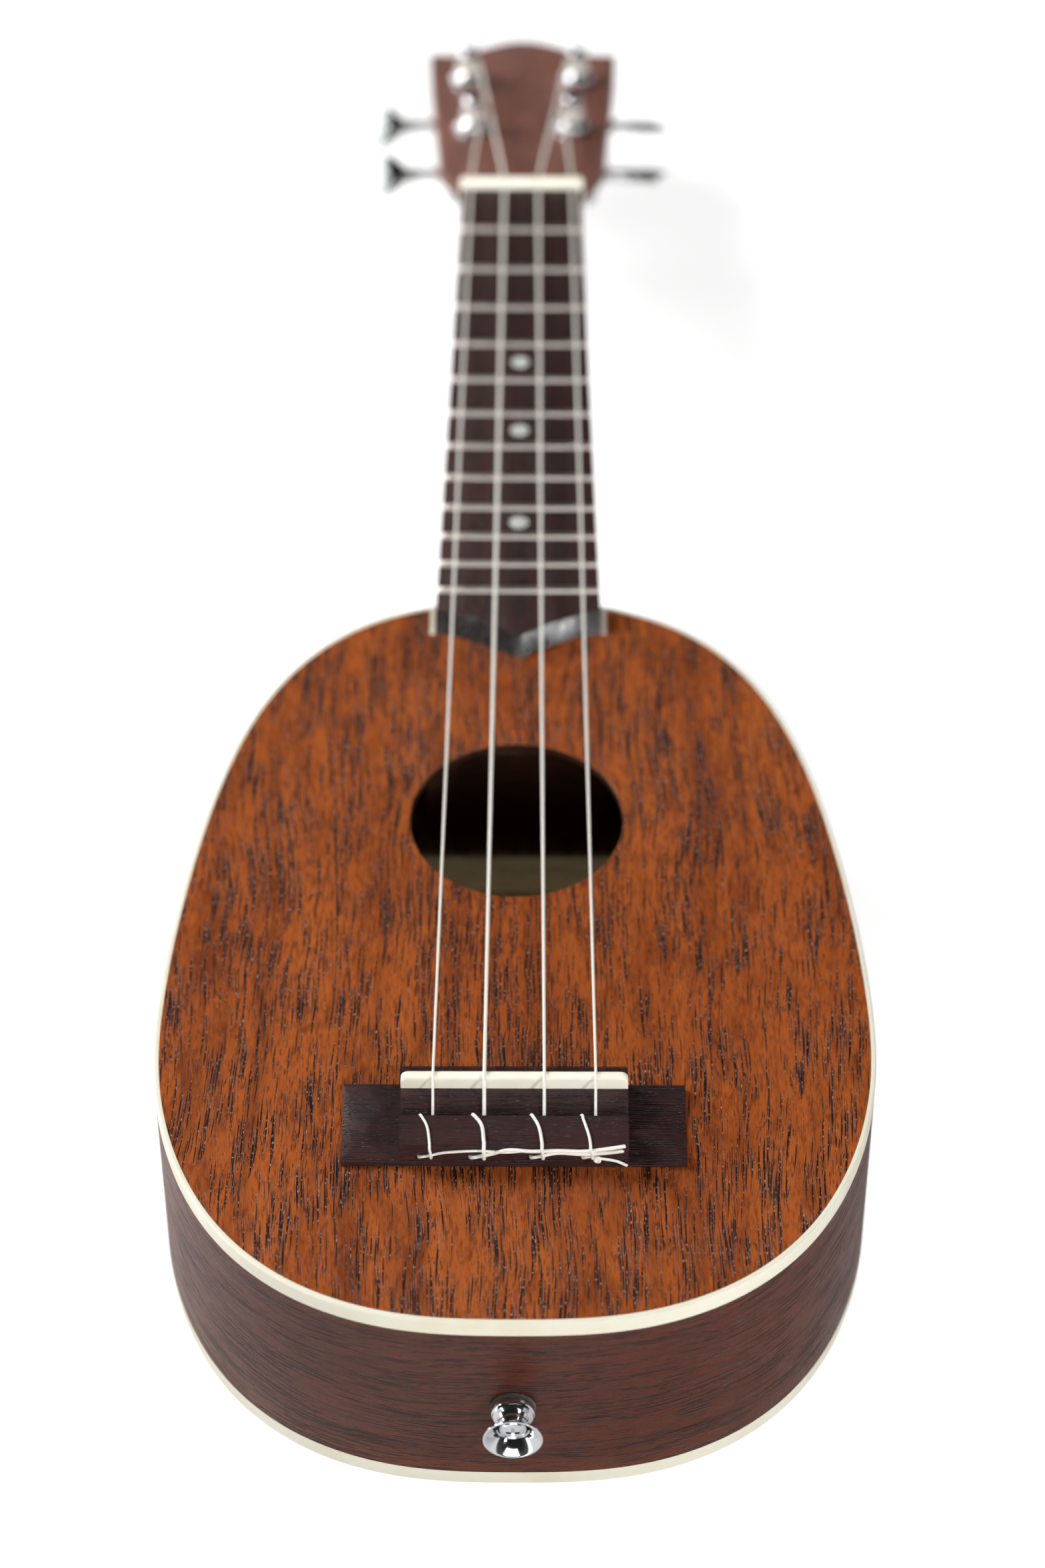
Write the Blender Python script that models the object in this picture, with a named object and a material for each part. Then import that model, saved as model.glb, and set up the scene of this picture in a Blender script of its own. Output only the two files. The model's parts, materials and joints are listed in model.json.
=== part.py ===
"""Soprano pineapple ukulele, modelled as separate pieces.

Frame: +X to the player's right of the neck seen from the front, +Y from the tail to
the headstock, +Z out of the soundboard. The back lies on z = 0, and y = 0 is the
line of the saddle, from which the scale length is measured. All sizes are metres.
"""

import math

import bmesh
import bpy
import numpy as np
from mathutils import Matrix, Vector

# Clearances.
FIT = 0.00005          # glue line between flush pieces
REST_GAP = 0.0003      # between a piece and the one that it rests on
CUT_PAST = 0.001       # how far a cutter passes the face it cuts

# Body.
DEPTH = 0.060
PLATE_THICK = 0.0020   # soundboard and back
SIDE_THICK = 0.0020
BINDING_WIDE = 0.00125
BINDING_TALL = 0.0044
BINDING_EDGE = 0.0003  # chamfer on the binding's outer corner
BODY_SEGMENTS = 80
HOLE_Y = 0.0938
HOLE_RADIUS = 0.0264
LINING_WIDE = 0.0045
LINING_TALL = 0.0090
# Half of the soundboard's edge as (half width, y), from the tail to the neck.
PLATE_EDGE = (
    (0.0000, -0.0630),
    (0.0283, -0.0608),
    (0.0525, -0.0506),
    (0.0672, -0.0365),
    (0.0778, -0.0167),
    (0.0835, 0.0078),
    (0.0839, 0.0335),
    (0.0793, 0.0773),
    (0.0715, 0.1147),
    (0.0591, 0.1440),
    (0.0391, 0.1642),
    (0.0200, 0.1712),
    (0.0000, 0.1730),
)

# Strings and scale.
SCALE = 0.345
FRETS = 12
DOT_FRETS = (5, 7, 10)
STRINGS = {            # name: (x at the saddle, x at the nut, radius)
    "g": (-0.01885, -0.01457, 0.00033),
    "c": (-0.00695, -0.00490, 0.00045),
    "e": (0.00695, 0.00490, 0.00040),
    "a": (0.01885, 0.01457, 0.00035),
}
STRING_SIDES = 8

# Fingerboard, frets and nut.
BOARD_THICK = 0.0050
BOARD_HALF_AT_NUT = 0.01716
BOARD_HALF_AT_MID = 0.02113
BOARD_END_Y = 0.1613   # corners of the shaped end, on the soundboard
BOARD_END_POINT = 0.0090
BOARD_END_BEVEL = 0.0035
FRET_WIDE = 0.0020
FRET_TALL = 0.0010
TANG_WIDE = 0.0005
TANG_DEEP = 0.0014
SLOT_WIDE = 0.0008
SLOT_DEEP = 0.0018
DOT_RADIUS = 0.0025
DOT_DEEP = 0.0012
NUT_THICK = 0.0050
NUT_TALL = 0.0068
NUT_HALF = 0.0176
NUT_SLOT_DEEP = 0.0004

# Strips of binding beside the fingerboard.
RETURN_WIDE = 0.0017
RETURN_END_Y = 0.1609

# Neck and headstock.
NECK_DEEP = 0.0155
HEEL_DEEP = 0.0520
HEEL_LONG = 0.024
HEEL_TAPER = 0.42
RING_POINTS = 11
HEAD_Y = 0.350
HEAD_TILT = math.radians(12.0)
HEAD_THICK = 0.0120
HEAD_SHOULDER = 0.0165
HEAD_HALF_LOW = 0.0235
HEAD_HALF_TOP = 0.0289
HEAD_LONG = 0.0995
HEAD_HUMP = 0.0108
HEAD_HUMP_REACH = 0.82  # of the half width, on each side of the middle
POST_HOLE = 0.0042
# Sections where the neck widens into the headstock: (y, half width, depth, squareness).
SHOULDER_SECTIONS = (
    (0.3475, 0.0173, 0.0150, 0.00),
    (0.3520, 0.0178, 0.0146, 0.04),
    (0.3560, 0.0193, 0.0140, 0.10),
    (0.3600, 0.0214, 0.0132, 0.20),
)
# Headstock sections: (distance up the headstock, squareness of the back).
HEAD_SECTIONS = ((0.0165, 0.38), (0.0215, 0.58), (0.0270, 0.82), (0.0330, 1.0), (0.0850, 1.0))
HEEL_SHARES = (-0.30, 0.0, 0.06, 0.16, 0.30, 0.48, 0.70, 1.0)
NECK_STATIONS = (0.24, 0.30, 0.338)

# Bridge and saddle, heights above the soundboard.
BRIDGE_FRONT = 0.0049
BRIDGE_REAR = -0.01875
BRIDGE_HALF = 0.0399
BLOCK_HALF = 0.0264
WING_TALL = 0.0016
TIE_TALL = 0.0077
TIE_FRONT = -0.0098
CHANNEL_TALL = 0.0022
LEDGE_TALL = 0.0073
LEDGE_REAR = -0.0033
RIDGE_TALL = 0.0080
SLOT_HALF = 0.00125
SLOT_FLOOR = 0.0040
SADDLE_HALF_THICK = 0.0012
SADDLE_HALF_LONG = 0.0264
SADDLE_TALL = 0.0112
TIE_HOLE_RADIUS = 0.00075
TIE_HOLE_TALL = 0.0034
TIE_HOLE_STEP = -0.0031
SCOOP_RADIUS = 0.0230
SCOOP_DEEP = 0.0032
SCOOP_SLOPE = math.radians(19.0)

# Strap button.
STRAP_Z = 0.030
STRAP_SEGMENTS = 24
SCREW_LONG = 0.0165
SCREW_RADIUS = 0.0014
RECESS_ARM = 0.0016
RECESS_HALF = 0.00035
RECESS_FLOOR = 0.0066
# Turned profiles as (radius, distance from the side).
STRAP_WASHER = (
    (0.0020, 0.0001),
    (0.0049, 0.0001),
    (0.0050, 0.0006),
    (0.0049, 0.0011),
    (0.0020, 0.0011),
)
STRAP_BUTTON = (
    (0.0017, 0.0012),
    (0.0047, 0.0012),
    (0.0050, 0.0016),
    (0.0050, 0.0027),
    (0.0046, 0.0031),
    (0.0036, 0.0034),
    (0.0030, 0.0045),
    (0.0031, 0.0056),
    (0.0040, 0.0069),
    (0.0064, 0.0088),
    (0.0068, 0.0093),
    (0.0067, 0.0096),
    (0.0062, 0.0095),
    (0.0036, 0.0070),
    (0.0034, 0.0066),
    (0.0017, 0.0048),
)
STRAP_SCREW = (
    (0.0002, -SCREW_LONG),
    (0.0011, -SCREW_LONG + 0.0035),
    (SCREW_RADIUS, 0.0000),
    (SCREW_RADIUS, 0.0046),
    (0.0030, 0.0066),
    (0.0030, 0.0069),
    (0.0022, 0.0075),
    (0.0008, 0.0078),
)

# Tuners. Each has its own frame: origin on the headstock's face at the post,
# x outward to the button, y away from the nut, z out of the face.
TUNERS = {             # name: (side, x of the post, distance up the headstock, rest turn)
    "g": (-1, 0.0148, 0.0426, 55.0),
    "c": (-1, 0.0166, 0.0780, 57.0),
    "e": (1, 0.0166, 0.0780, -30.0),
    "a": (1, 0.0148, 0.0426, -12.0),
}
TUNER_TURN = math.radians(3.75)   # shafts stand square to the tapered sides
TEETH = 14
MODULE = 0.00055
WHEEL_RADIUS = MODULE * TEETH / 2
WORM_RADIUS = 0.0022
CENTRES = WHEEL_RADIUS + WORM_RADIUS
PITCH = math.pi * MODULE
ADDENDUM = 0.00042
DEDENDUM = 0.00065
THREAD_THICK = 0.00060
TOOTH_THICK = 0.00064
FLANK = math.tan(math.radians(20.0))
WORM_TURNS = 3
WHEEL_WIDE = 0.0030
GEAR_Z = -0.0167
POST_RADIUS = 0.0029
POST_WAIST = 0.0025
POST_TOP = 0.0112
POST_WAIST_LOW = 0.0042    # the string winds between these two heights
POST_WAIST_HIGH = 0.0080
POST_BOTTOM = -0.0197
SHAFT_RADIUS = 0.0014
SHAFT_INNER_END = -0.0064
SHAFT_OUTER_END = 0.0205
BUTTON_INNER_END = 0.0166
# Button sections: (distance from its inner end, half width, half thickness).
BUTTON_STATIONS = (
    (0.0000, 0.0020, 0.0020),
    (0.0012, 0.0021, 0.0021),
    (0.0024, 0.0019, 0.0018),
    (0.0040, 0.0028, 0.0019),
    (0.0058, 0.0045, 0.0018),
    (0.0080, 0.0058, 0.0016),
    (0.0100, 0.0063, 0.0013),
    (0.0111, 0.0058, 0.0010),
    (0.0117, 0.0044, 0.0006),
)
HOUSING_LOW = (-0.0078, -0.0066)
HOUSING_HIGH = (0.0076, 0.0104)
HOUSING_TOP = -0.0123
HOUSING_BOTTOM = -0.0216
HOUSING_WALL = 0.0014


# ---------------------------------------------------------------- scene and materials

def clear_scene():
    for obj in list(bpy.data.objects):
        bpy.data.objects.remove(obj)


def material(name, colour, roughness, metallic=0.0):
    mat = bpy.data.materials.get(name)
    if mat is None:
        mat = bpy.data.materials.new(name)
        mat.use_nodes = True
        shader = mat.node_tree.nodes["Principled BSDF"]
        shader.inputs["Base Color"].default_value = (*colour, 1.0)
        shader.inputs["Roughness"].default_value = roughness
        shader.inputs["Metallic"].default_value = metallic
        mat.diffuse_color = (*colour, 1.0)
    return mat


def top_wood():
    return material("mahogany_top", (0.30, 0.10, 0.035), 0.45)


def side_wood():
    return material("mahogany_side", (0.13, 0.045, 0.025), 0.40)


def neck_wood():
    return material("mahogany_neck", (0.16, 0.06, 0.035), 0.42)


def inner_wood():
    return material("inner_wood", (0.42, 0.27, 0.15), 0.80)


def rosewood():
    return material("rosewood", (0.045, 0.022, 0.020), 0.50)


def binding_plastic():
    return material("cream_binding", (0.85, 0.80, 0.62), 0.35)


def bone():
    return material("bone", (0.84, 0.79, 0.62), 0.45)


def pearl():
    return material("pearl", (0.80, 0.78, 0.72), 0.30)


def nylon():
    return material("nylon", (0.88, 0.86, 0.80), 0.35)


def fret_metal():
    return material("fret_metal", (0.60, 0.56, 0.52), 0.30, 1.0)


def chrome():
    return material("chrome", (0.75, 0.76, 0.78), 0.12, 1.0)


def brass():
    return material("brass", (0.70, 0.52, 0.24), 0.30, 1.0)


def felt():
    return material("felt", (0.02, 0.02, 0.02), 0.95)


# ---------------------------------------------------------------- mesh helpers

def finish(bm, name, mat, smooth_angle=None, parent=None):
    """A new object from bm, with its faces turned outward."""
    bmesh.ops.recalc_face_normals(bm, faces=bm.faces)
    mesh = bpy.data.meshes.new(name)
    bm.to_mesh(mesh)
    bm.free()
    mesh.materials.append(mat)
    obj = bpy.data.objects.new(name, mesh)
    bpy.context.scene.collection.objects.link(obj)
    if smooth_angle is not None:
        mesh.shade_smooth()
        mesh.set_sharp_from_angle(angle=math.radians(smooth_angle))
    obj.parent = parent
    return obj


def loft_into(bm, rings, close_loop=False, cap_end=True):
    """Skin rings of equal length. Ends are capped unless the rings form a loop."""
    loops = [[bm.verts.new(point) for point in ring] for ring in rings]
    count = len(loops[0])
    pairs = list(zip(loops, loops[1:]))
    if close_loop:
        pairs.append((loops[-1], loops[0]))
    for low, high in pairs:
        for i in range(count):
            j = (i + 1) % count
            bm.faces.new((low[i], low[j], high[j], high[i]))
    if not close_loop:
        bm.faces.new(loops[0])
    if cap_end and not close_loop:
        bm.faces.new(loops[-1])
    return loops


def loft(name, rings, mat, close_loop=False, smooth_angle=None, parent=None):
    bm = bmesh.new()
    loft_into(bm, rings, close_loop)
    return finish(bm, name, mat, smooth_angle, parent)


def box_into(bm, low, high):
    corners = [(low[0], low[1]), (high[0], low[1]), (high[0], high[1]), (low[0], high[1])]
    loft_into(bm, [[(x, y, z) for x, y in corners] for z in (low[2], high[2])])


def circle(radius, segments, z=0.0, turn=0.0):
    steps = [turn + 2 * math.pi * i / segments for i in range(segments)]
    return [(radius * math.cos(a), radius * math.sin(a), z) for a in steps]


def cylinder_into(bm, matrix, radius, low, high, segments=16):
    """A cylinder about the matrix's z axis."""
    rings = [circle(radius, segments, z) for z in (low, high)]
    loft_into(bm, [[matrix @ Vector(point) for point in ring] for ring in rings])


def lathe_rings(profile, segments, turn=0.0):
    """Rings about z for a profile of (radius, z) points, none of them on the axis."""
    return [circle(radius, segments, z, turn) for radius, z in profile]


def cutter(name, bm):
    """A closed helper shape that is not part of the object."""
    obj = finish(bm, name, brass())
    obj.hide_render = True
    obj.display_type = "WIRE"
    return obj


def boolean(obj, tool, operation="DIFFERENCE"):
    modifier = obj.modifiers.new(tool.name, "BOOLEAN")
    modifier.operation = operation
    modifier.solver = "EXACT"
    modifier.object = tool


def carve(obj, name, bm):
    """Cut obj with a shape given in obj's own frame."""
    tool = cutter(name, bm)
    tool.parent = obj
    boolean(obj, tool)


def place(obj, location, rotation=(0.0, 0.0, 0.0)):
    obj.location = location
    obj.rotation_euler = rotation
    return obj


# ---------------------------------------------------------------- body outline

def closed_spline(points, count):
    """Points and outward normals at even spacing on a closed cubic spline."""
    knots = np.array(points, float)
    steps = np.linalg.norm(np.roll(knots, -1, axis=0) - knots, axis=1)
    size = len(knots)
    matrix = np.zeros((size, size))
    right = np.zeros((size, 2))
    for i in range(size):
        before, after = steps[i - 1], steps[i]
        ahead = (i + 1) % size
        matrix[i, i - 1] += after
        matrix[i, i] += 2 * (before + after)
        matrix[i, ahead] += before
        right[i] = 3 * (after * (knots[i] - knots[i - 1]) / before + before * (knots[ahead] - knots[i]) / after)
    slopes = np.linalg.solve(matrix, right)
    fine = []
    for i in range(size):
        ahead = (i + 1) % size
        for t in np.linspace(0, 1, 40, endpoint=False):
            fine.append(
                (2 * t**3 - 3 * t**2 + 1) * knots[i]
                + (t**3 - 2 * t**2 + t) * steps[i] * slopes[i]
                + (3 * t**2 - 2 * t**3) * knots[ahead]
                + (t**3 - t**2) * steps[i] * slopes[ahead]
            )
    fine = np.array(fine + [fine[0]])
    length = np.concatenate([[0], np.cumsum(np.linalg.norm(np.diff(fine, axis=0), axis=1))])
    even = np.linspace(0, length[-1], count, endpoint=False)
    places = np.stack([np.interp(even, length, fine[:, k]) for k in (0, 1)], axis=1)
    along = np.roll(places, -1, axis=0) - np.roll(places, 1, axis=0)
    along /= np.linalg.norm(along, axis=1)[:, None]
    return places, np.stack([along[:, 1], -along[:, 0]], axis=1)


def body_outline():
    right = list(PLATE_EDGE)
    left = [(-x, y) for x, y in reversed(PLATE_EDGE[1:-1])]
    return closed_spline(right + left, BODY_SEGMENTS)


EDGE, NORMALS = body_outline()


def outline(inset):
    """The body's outline, moved in from the soundboard's edge by inset."""
    return EDGE - NORMALS * inset


def edge_y(x, inset, at_neck):
    """The y of the outline at x, on the neck's side or the tail's side."""
    points = outline(inset)
    half = points[points[:, 1] > 0.15] if at_neck else points[points[:, 1] < -0.03]
    half = half[np.argsort(half[:, 0])]
    return float(np.interp(x, half[:, 0], half[:, 1]))


def rim(name, section, mat, smooth_angle=50.0):
    """A closed hoop that follows the outline. section is a loop of (inset, z)."""
    loops = [outline(inset) for inset, _ in section]
    rings = []
    for i in range(BODY_SEGMENTS):
        rings.append([(*loops[k][i], z) for k, (_, z) in enumerate(section)])
    return loft(name, rings, mat, close_loop=True, smooth_angle=smooth_angle)


# ---------------------------------------------------------------- body pieces

def fingerboard_half(y):
    slope = (BOARD_HALF_AT_MID - BOARD_HALF_AT_NUT) / (SCALE / 2)
    return BOARD_HALF_AT_NUT + (SCALE - y) * slope


def binding_returns(grow, top):
    """The two strips beside the fingerboard, as a closed shape grown by grow."""
    bm = bmesh.new()
    inner = fingerboard_half(RETURN_END_Y) + FIT
    top_y = edge_y(inner + RETURN_WIDE, 0.0, True) + BINDING_WIDE / 2
    for side in (-1, 1):
        ends = sorted((side * (inner - grow), side * (inner + RETURN_WIDE + grow)))
        low = (ends[0], RETURN_END_Y - grow, DEPTH - PLATE_THICK / 2 - grow)
        box_into(bm, low, (ends[1], top_y, top))
    return bm


def make_soundboard():
    outer = outline(0.0)
    angles = np.arctan2(outer[:, 1] - HOLE_Y, outer[:, 0])
    hole = np.stack([np.cos(angles) * HOLE_RADIUS, HOLE_Y + np.sin(angles) * HOLE_RADIUS], axis=1)
    top, bottom = DEPTH, DEPTH - PLATE_THICK
    rings = []
    for i in range(BODY_SEGMENTS):
        rings.append([(*outer[i], bottom), (*outer[i], top), (*hole[i], top), (*hole[i], bottom)])
    board = loft("soundboard", rings, top_wood(), close_loop=True, smooth_angle=40.0)
    boolean(board, cutter("cut_returns", binding_returns(FIT, DEPTH + CUT_PAST)))


def make_back_plate():
    points = outline(0.0)
    rings = [[(*point, z) for point in points] for z in (0.0, PLATE_THICK)]
    loft("back_plate", rings, top_wood(), smooth_angle=40.0)


def make_side_rim():
    shelf = BINDING_TALL + FIT
    plate = PLATE_THICK + FIT
    tongue = FIT
    inside = SIDE_THICK - BINDING_WIDE
    section = [
        (-BINDING_WIDE, shelf),
        (-BINDING_WIDE, DEPTH - shelf),
        (tongue, DEPTH - shelf),
        (tongue, DEPTH - plate),
        (inside, DEPTH - plate),
        (inside, plate),
        (tongue, plate),
        (tongue, shelf),
    ]
    side = rim("side_rim", section, side_wood())
    bm = bmesh.new()
    cylinder_into(bm, strap_matrix(), SCREW_RADIUS + 0.0003, -0.006, 0.004)
    boolean(side, cutter("cut_side_hole", bm))


def make_bindings():
    outer, inner = -BINDING_WIDE, -FIT
    for name, face, foot in (("top_binding", DEPTH, DEPTH - BINDING_TALL), ("back_binding", 0.0, BINDING_TALL)):
        turned = BINDING_EDGE if face > foot else -BINDING_EDGE
        section = [
            (outer, foot),
            (outer, face - turned),
            (outer + BINDING_EDGE, face),
            (inner, face),
            (inner, foot),
        ]
        hoop = rim(name, section, binding_plastic())
        if name == "top_binding":
            boolean(hoop, cutter("join_returns", binding_returns(0.0, DEPTH)), "UNION")


def make_linings():
    outer = SIDE_THICK - BINDING_WIDE + FIT
    inner = outer + LINING_WIDE
    plate = PLATE_THICK + FIT
    for name, turn in (("top_lining", -1), ("back_lining", 1)):
        face = DEPTH - plate if turn < 0 else plate
        section = [
            (outer, face),
            (outer, face + turn * LINING_TALL),
            (outer + LINING_WIDE / 3, face + turn * LINING_TALL),
            (inner, face + turn * LINING_TALL / 3),
            (inner, face),
        ]
        rim(name, section, inner_wood(), smooth_angle=30.0)


def end_block(name, half, inner_y, at_neck):
    """A block between soundboard and back, notched for the two linings."""
    against_side = SIDE_THICK - BINDING_WIDE + REST_GAP
    against_lining = against_side + LINING_WIDE + REST_GAP
    low = PLATE_THICK + REST_GAP
    step = PLATE_THICK + LINING_TALL + 2 * REST_GAP
    rings = []
    for x in np.linspace(-half, half, 7):
        at_side = edge_y(x, against_side, at_neck)
        at_lining = edge_y(x, against_lining, at_neck)
        rings.append([
            (x, inner_y, low),
            (x, at_lining, low),
            (x, at_lining, step),
            (x, at_side, step),
            (x, at_side, DEPTH - step),
            (x, at_lining, DEPTH - step),
            (x, at_lining, DEPTH - low),
            (x, inner_y, DEPTH - low),
        ])
    return loft(name, rings, inner_wood())


def make_blocks():
    end_block("neck_block", 0.024, 0.144, True)
    block = end_block("tail_block", 0.022, -0.044, False)
    bm = bmesh.new()
    cylinder_into(bm, strap_matrix(), SCREW_RADIUS + 0.0002, -SCREW_LONG - 0.001, 0.0)
    boolean(block, cutter("cut_tail_hole", bm))


def brace(name, y, wide, tall, under_top):
    """A cross brace with scalloped ends that stop inside the linings."""
    inside = SIDE_THICK - BINDING_WIDE + LINING_WIDE + 2 * REST_GAP
    reach = min(half_width_at(y - wide / 2, inside), half_width_at(y + wide / 2, inside))
    root = DEPTH - PLATE_THICK - FIT if under_top else PLATE_THICK + FIT
    down = -1 if under_top else 1
    rings = []
    for part, share in ((-1.0, 0.30), (-0.72, 1.0), (0.72, 1.0), (1.0, 0.30)):
        x = reach * part
        edge = root + down * tall * share
        shoulder = root + down * tall * share * 0.8
        rings.append([
            (x, y - wide / 2, root),
            (x, y + wide / 2, root),
            (x, y + wide / 2, shoulder),
            (x, y + wide / 5, edge),
            (x, y - wide / 5, edge),
            (x, y - wide / 2, shoulder),
        ])
    loft(name, rings, inner_wood())


def half_width_at(y, inset):
    points = outline(inset)
    right = points[points[:, 0] > 0]
    right = right[np.argsort(right[:, 1])]
    return float(np.interp(y, right[:, 1], right[:, 0]))


def make_braces():
    brace("upper_top_brace", 0.1285, 0.0060, 0.0085, True)
    brace("lower_top_brace", 0.0560, 0.0060, 0.0085, True)
    brace("upper_back_brace", 0.1273, 0.0063, 0.0080, False)
    brace("lower_back_brace", 0.0200, 0.0063, 0.0080, False)


# ---------------------------------------------------------------- neck

def head_point(x, along, out):
    """A point of the headstock: along its face from HEAD_Y, and out of the face."""
    y = HEAD_Y + along * math.cos(HEAD_TILT) + out * math.sin(HEAD_TILT)
    return (x, y, DEPTH - along * math.sin(HEAD_TILT) + out * math.cos(HEAD_TILT))


def head_half(along):
    share = (along - HEAD_SHOULDER) / (HEAD_LONG - HEAD_SHOULDER)
    return HEAD_HALF_LOW + (HEAD_HALF_TOP - HEAD_HALF_LOW) * share


def round_back(square, taper=0.0):
    """The underside of a section, as shares of its half width and of its depth."""
    points = []
    for i, u in enumerate(np.linspace(1, -1, RING_POINTS)):
        angle = math.pi * (i + 0.5) / RING_POINTS
        drop = math.sin(angle) ** 0.85
        across = math.copysign(abs(math.cos(angle)) ** 0.90, math.cos(angle))
        across *= 1 - taper * drop
        points.append((across * (1 - square) + u * square, drop * (1 - square) + square))
    return points


def neck_ring(y, half, deep, square=0.0, taper=0.0):
    """A section across the neck: flat on top, round below, or square below."""
    top = DEPTH - max(0.0, y - HEAD_Y) * math.tan(HEAD_TILT)
    ring = [(half * u, y, top) for u in np.linspace(-1, 1, RING_POINTS)]
    return ring + [(half * across, y, top - deep * drop) for across, drop in round_back(square, taper)]


def head_ring(along, half, square=1.0, hump=0.0):
    """A section across the headstock. hump carries the middle further up."""
    def reach(x):
        share = min(1.0, abs(x) / half / HEAD_HUMP_REACH)
        return along + hump * 0.5 * (1 + math.cos(math.pi * share))

    ring = [head_point(half * u, reach(half * u), 0.0) for u in np.linspace(-1, 1, RING_POINTS)]
    for across, drop in round_back(square):
        x = half * across
        ring.append(head_point(x, reach(x), -HEAD_THICK * drop))
    return ring


def heel_rings():
    """Rings from the body's side to where the heel has become the neck."""
    rings = []
    start = edge_y(0.0, -BINDING_WIDE, True)
    for share in HEEL_SHARES:
        y = start + HEEL_LONG * share
        swell = (1 - max(0.0, share)) ** 2.6
        deep = NECK_DEEP + 0.001 + (HEEL_DEEP - NECK_DEEP) * swell
        rings.append(neck_ring(y, fingerboard_half(y), deep, taper=HEEL_TAPER * swell))
    return rings


def cap_in_strips(bm, loop):
    """Close a curved end with one face between each pair of facing points."""
    last = len(loop) - 1
    for i in range(RING_POINTS - 1):
        bm.faces.new((loop[i], loop[i + 1], loop[last - i - 1], loop[last - i]))


def make_neck():
    rings = heel_rings()
    for y in NECK_STATIONS:
        rings.append(neck_ring(y, fingerboard_half(y), NECK_DEEP))
    for section in SHOULDER_SECTIONS:
        rings.append(neck_ring(*section))
    for along, square in HEAD_SECTIONS:
        rings.append(head_ring(along, head_half(along), square))
    rings.append(head_ring(HEAD_LONG, HEAD_HALF_TOP, 1.0, HEAD_HUMP))
    bm = bmesh.new()
    loops = loft_into(bm, rings, cap_end=False)
    cap_in_strips(bm, loops[-1])
    neck = finish(bm, "neck", neck_wood(), 35.0)
    bm = bmesh.new()
    for name in TUNERS:
        cylinder_into(bm, tuner_matrix(name), POST_HOLE, -0.020, 0.006, 18)
    boolean(neck, cutter("cut_post_holes", bm))
    bm = bmesh.new()
    body = outline(-BINDING_WIDE - FIT)
    loft_into(bm, [[(*point, z) for point in body] for z in (-0.001, DEPTH + 0.001)])
    boolean(neck, cutter("cut_heel", bm))


def board_end(u, bevelled):
    """The y of the fingerboard's shaped end at u, its share of the half width."""
    soft = math.sqrt(u * u + 0.006) - 0.0775
    lift = BOARD_END_BEVEL if bevelled else 0.0
    return BOARD_END_Y + lift - BOARD_END_POINT * max(0.0, 1 - soft) ** 1.75


def make_fingerboard():
    low, high = DEPTH + FIT, DEPTH + BOARD_THICK
    nut_half = fingerboard_half(SCALE)
    loops = []
    for z, bevelled in ((low, False), (high, True)):
        end_y = BOARD_END_Y + (BOARD_END_BEVEL if bevelled else 0.0)
        end_half = fingerboard_half(end_y)
        loop = [(-nut_half, SCALE - FIT, z), (nut_half, SCALE - FIT, z)]
        for u in np.linspace(1, -1, 25):
            y = board_end(abs(u), bevelled) if abs(u) < 1 else end_y
            loop.append((end_half * u, y, z))
        loops.append(list(reversed(loop)))
    board = loft("fingerboard", loops, rosewood(), smooth_angle=30.0)
    bm = bmesh.new()
    for number in range(1, FRETS + 1):
        y = fret_y(number)
        half = fingerboard_half(y) + 0.002
        box_into(bm, (-half, y - SLOT_WIDE / 2, high - SLOT_DEEP), (half, y + SLOT_WIDE / 2, high + 0.001))
    boolean(board, cutter("cut_fret_slots", bm))
    bm = bmesh.new()
    for number in DOT_FRETS:
        spot = Matrix.Translation((0.0, dot_y(number), high))
        cylinder_into(bm, spot, DOT_RADIUS + FIT, -DOT_DEEP - FIT, 0.001, 20)
    boolean(board, cutter("cut_dots", bm))


def fret_y(number):
    return SCALE * 2 ** (-number / 12)


def dot_y(number):
    return (fret_y(number) + fret_y(number - 1)) / 2


def make_frets():
    top = DEPTH + BOARD_THICK
    for number in range(1, FRETS + 1):
        section = []
        for i in range(6):
            angle = math.pi * i / 5
            section.append((FRET_WIDE / 2 * math.cos(angle), top + FIT + FRET_TALL * math.sin(angle) ** 0.8))
        section += [(-TANG_WIDE / 2, top + FIT), (-TANG_WIDE / 2, top - TANG_DEEP)]
        section += [(TANG_WIDE / 2, top - TANG_DEEP), (TANG_WIDE / 2, top + FIT)]
        half = fingerboard_half(fret_y(number)) - 0.0001
        rings = []
        for side in (-1, 1):
            lean = [0.0 if z < top + 2 * FIT else 0.0006 * (z - top) / FRET_TALL for _, z in section]
            rings.append([(side * (half - lean[k]), y, z) for k, (y, z) in enumerate(section)])
        fret = loft(f"fret_{number:02d}", rings, fret_metal(), smooth_angle=40.0)
        place(fret, (0.0, fret_y(number), 0.0))


def make_dots():
    for number in DOT_FRETS:
        rings = lathe_rings([(DOT_RADIUS, -DOT_DEEP), (DOT_RADIUS, 0.0)], 20)
        dot = loft(f"dot_fret_{number:02d}", rings, pearl(), smooth_angle=30.0)
        place(dot, (0.0, dot_y(number), DEPTH + BOARD_THICK))


def make_nut():
    """The nut, with a shallow groove for each string."""
    stations = [(-NUT_HALF, 0.0)]
    for _, x, radius in STRINGS.values():
        for offset, drop in ((-1.6, 0.0), (-1.1, 1.0), (1.1, 1.0), (1.6, 0.0)):
            stations.append((x + offset * radius, drop * NUT_SLOT_DEEP))
    stations.append((NUT_HALF, 0.0))
    rings = []
    for x, drop in sorted(stations):
        top = DEPTH + NUT_TALL - drop
        rings.append([
            (x, SCALE, DEPTH + FIT),
            (x, SCALE, top - 0.0002),
            (x, SCALE + 0.0006, top),
            (x, SCALE + NUT_THICK * 0.55, top - 0.0002),
            (x, SCALE + NUT_THICK, top - 0.0016),
            (x, SCALE + NUT_THICK, DEPTH + FIT),
        ])
    loft("nut", rings, bone(), smooth_angle=40.0)


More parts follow.
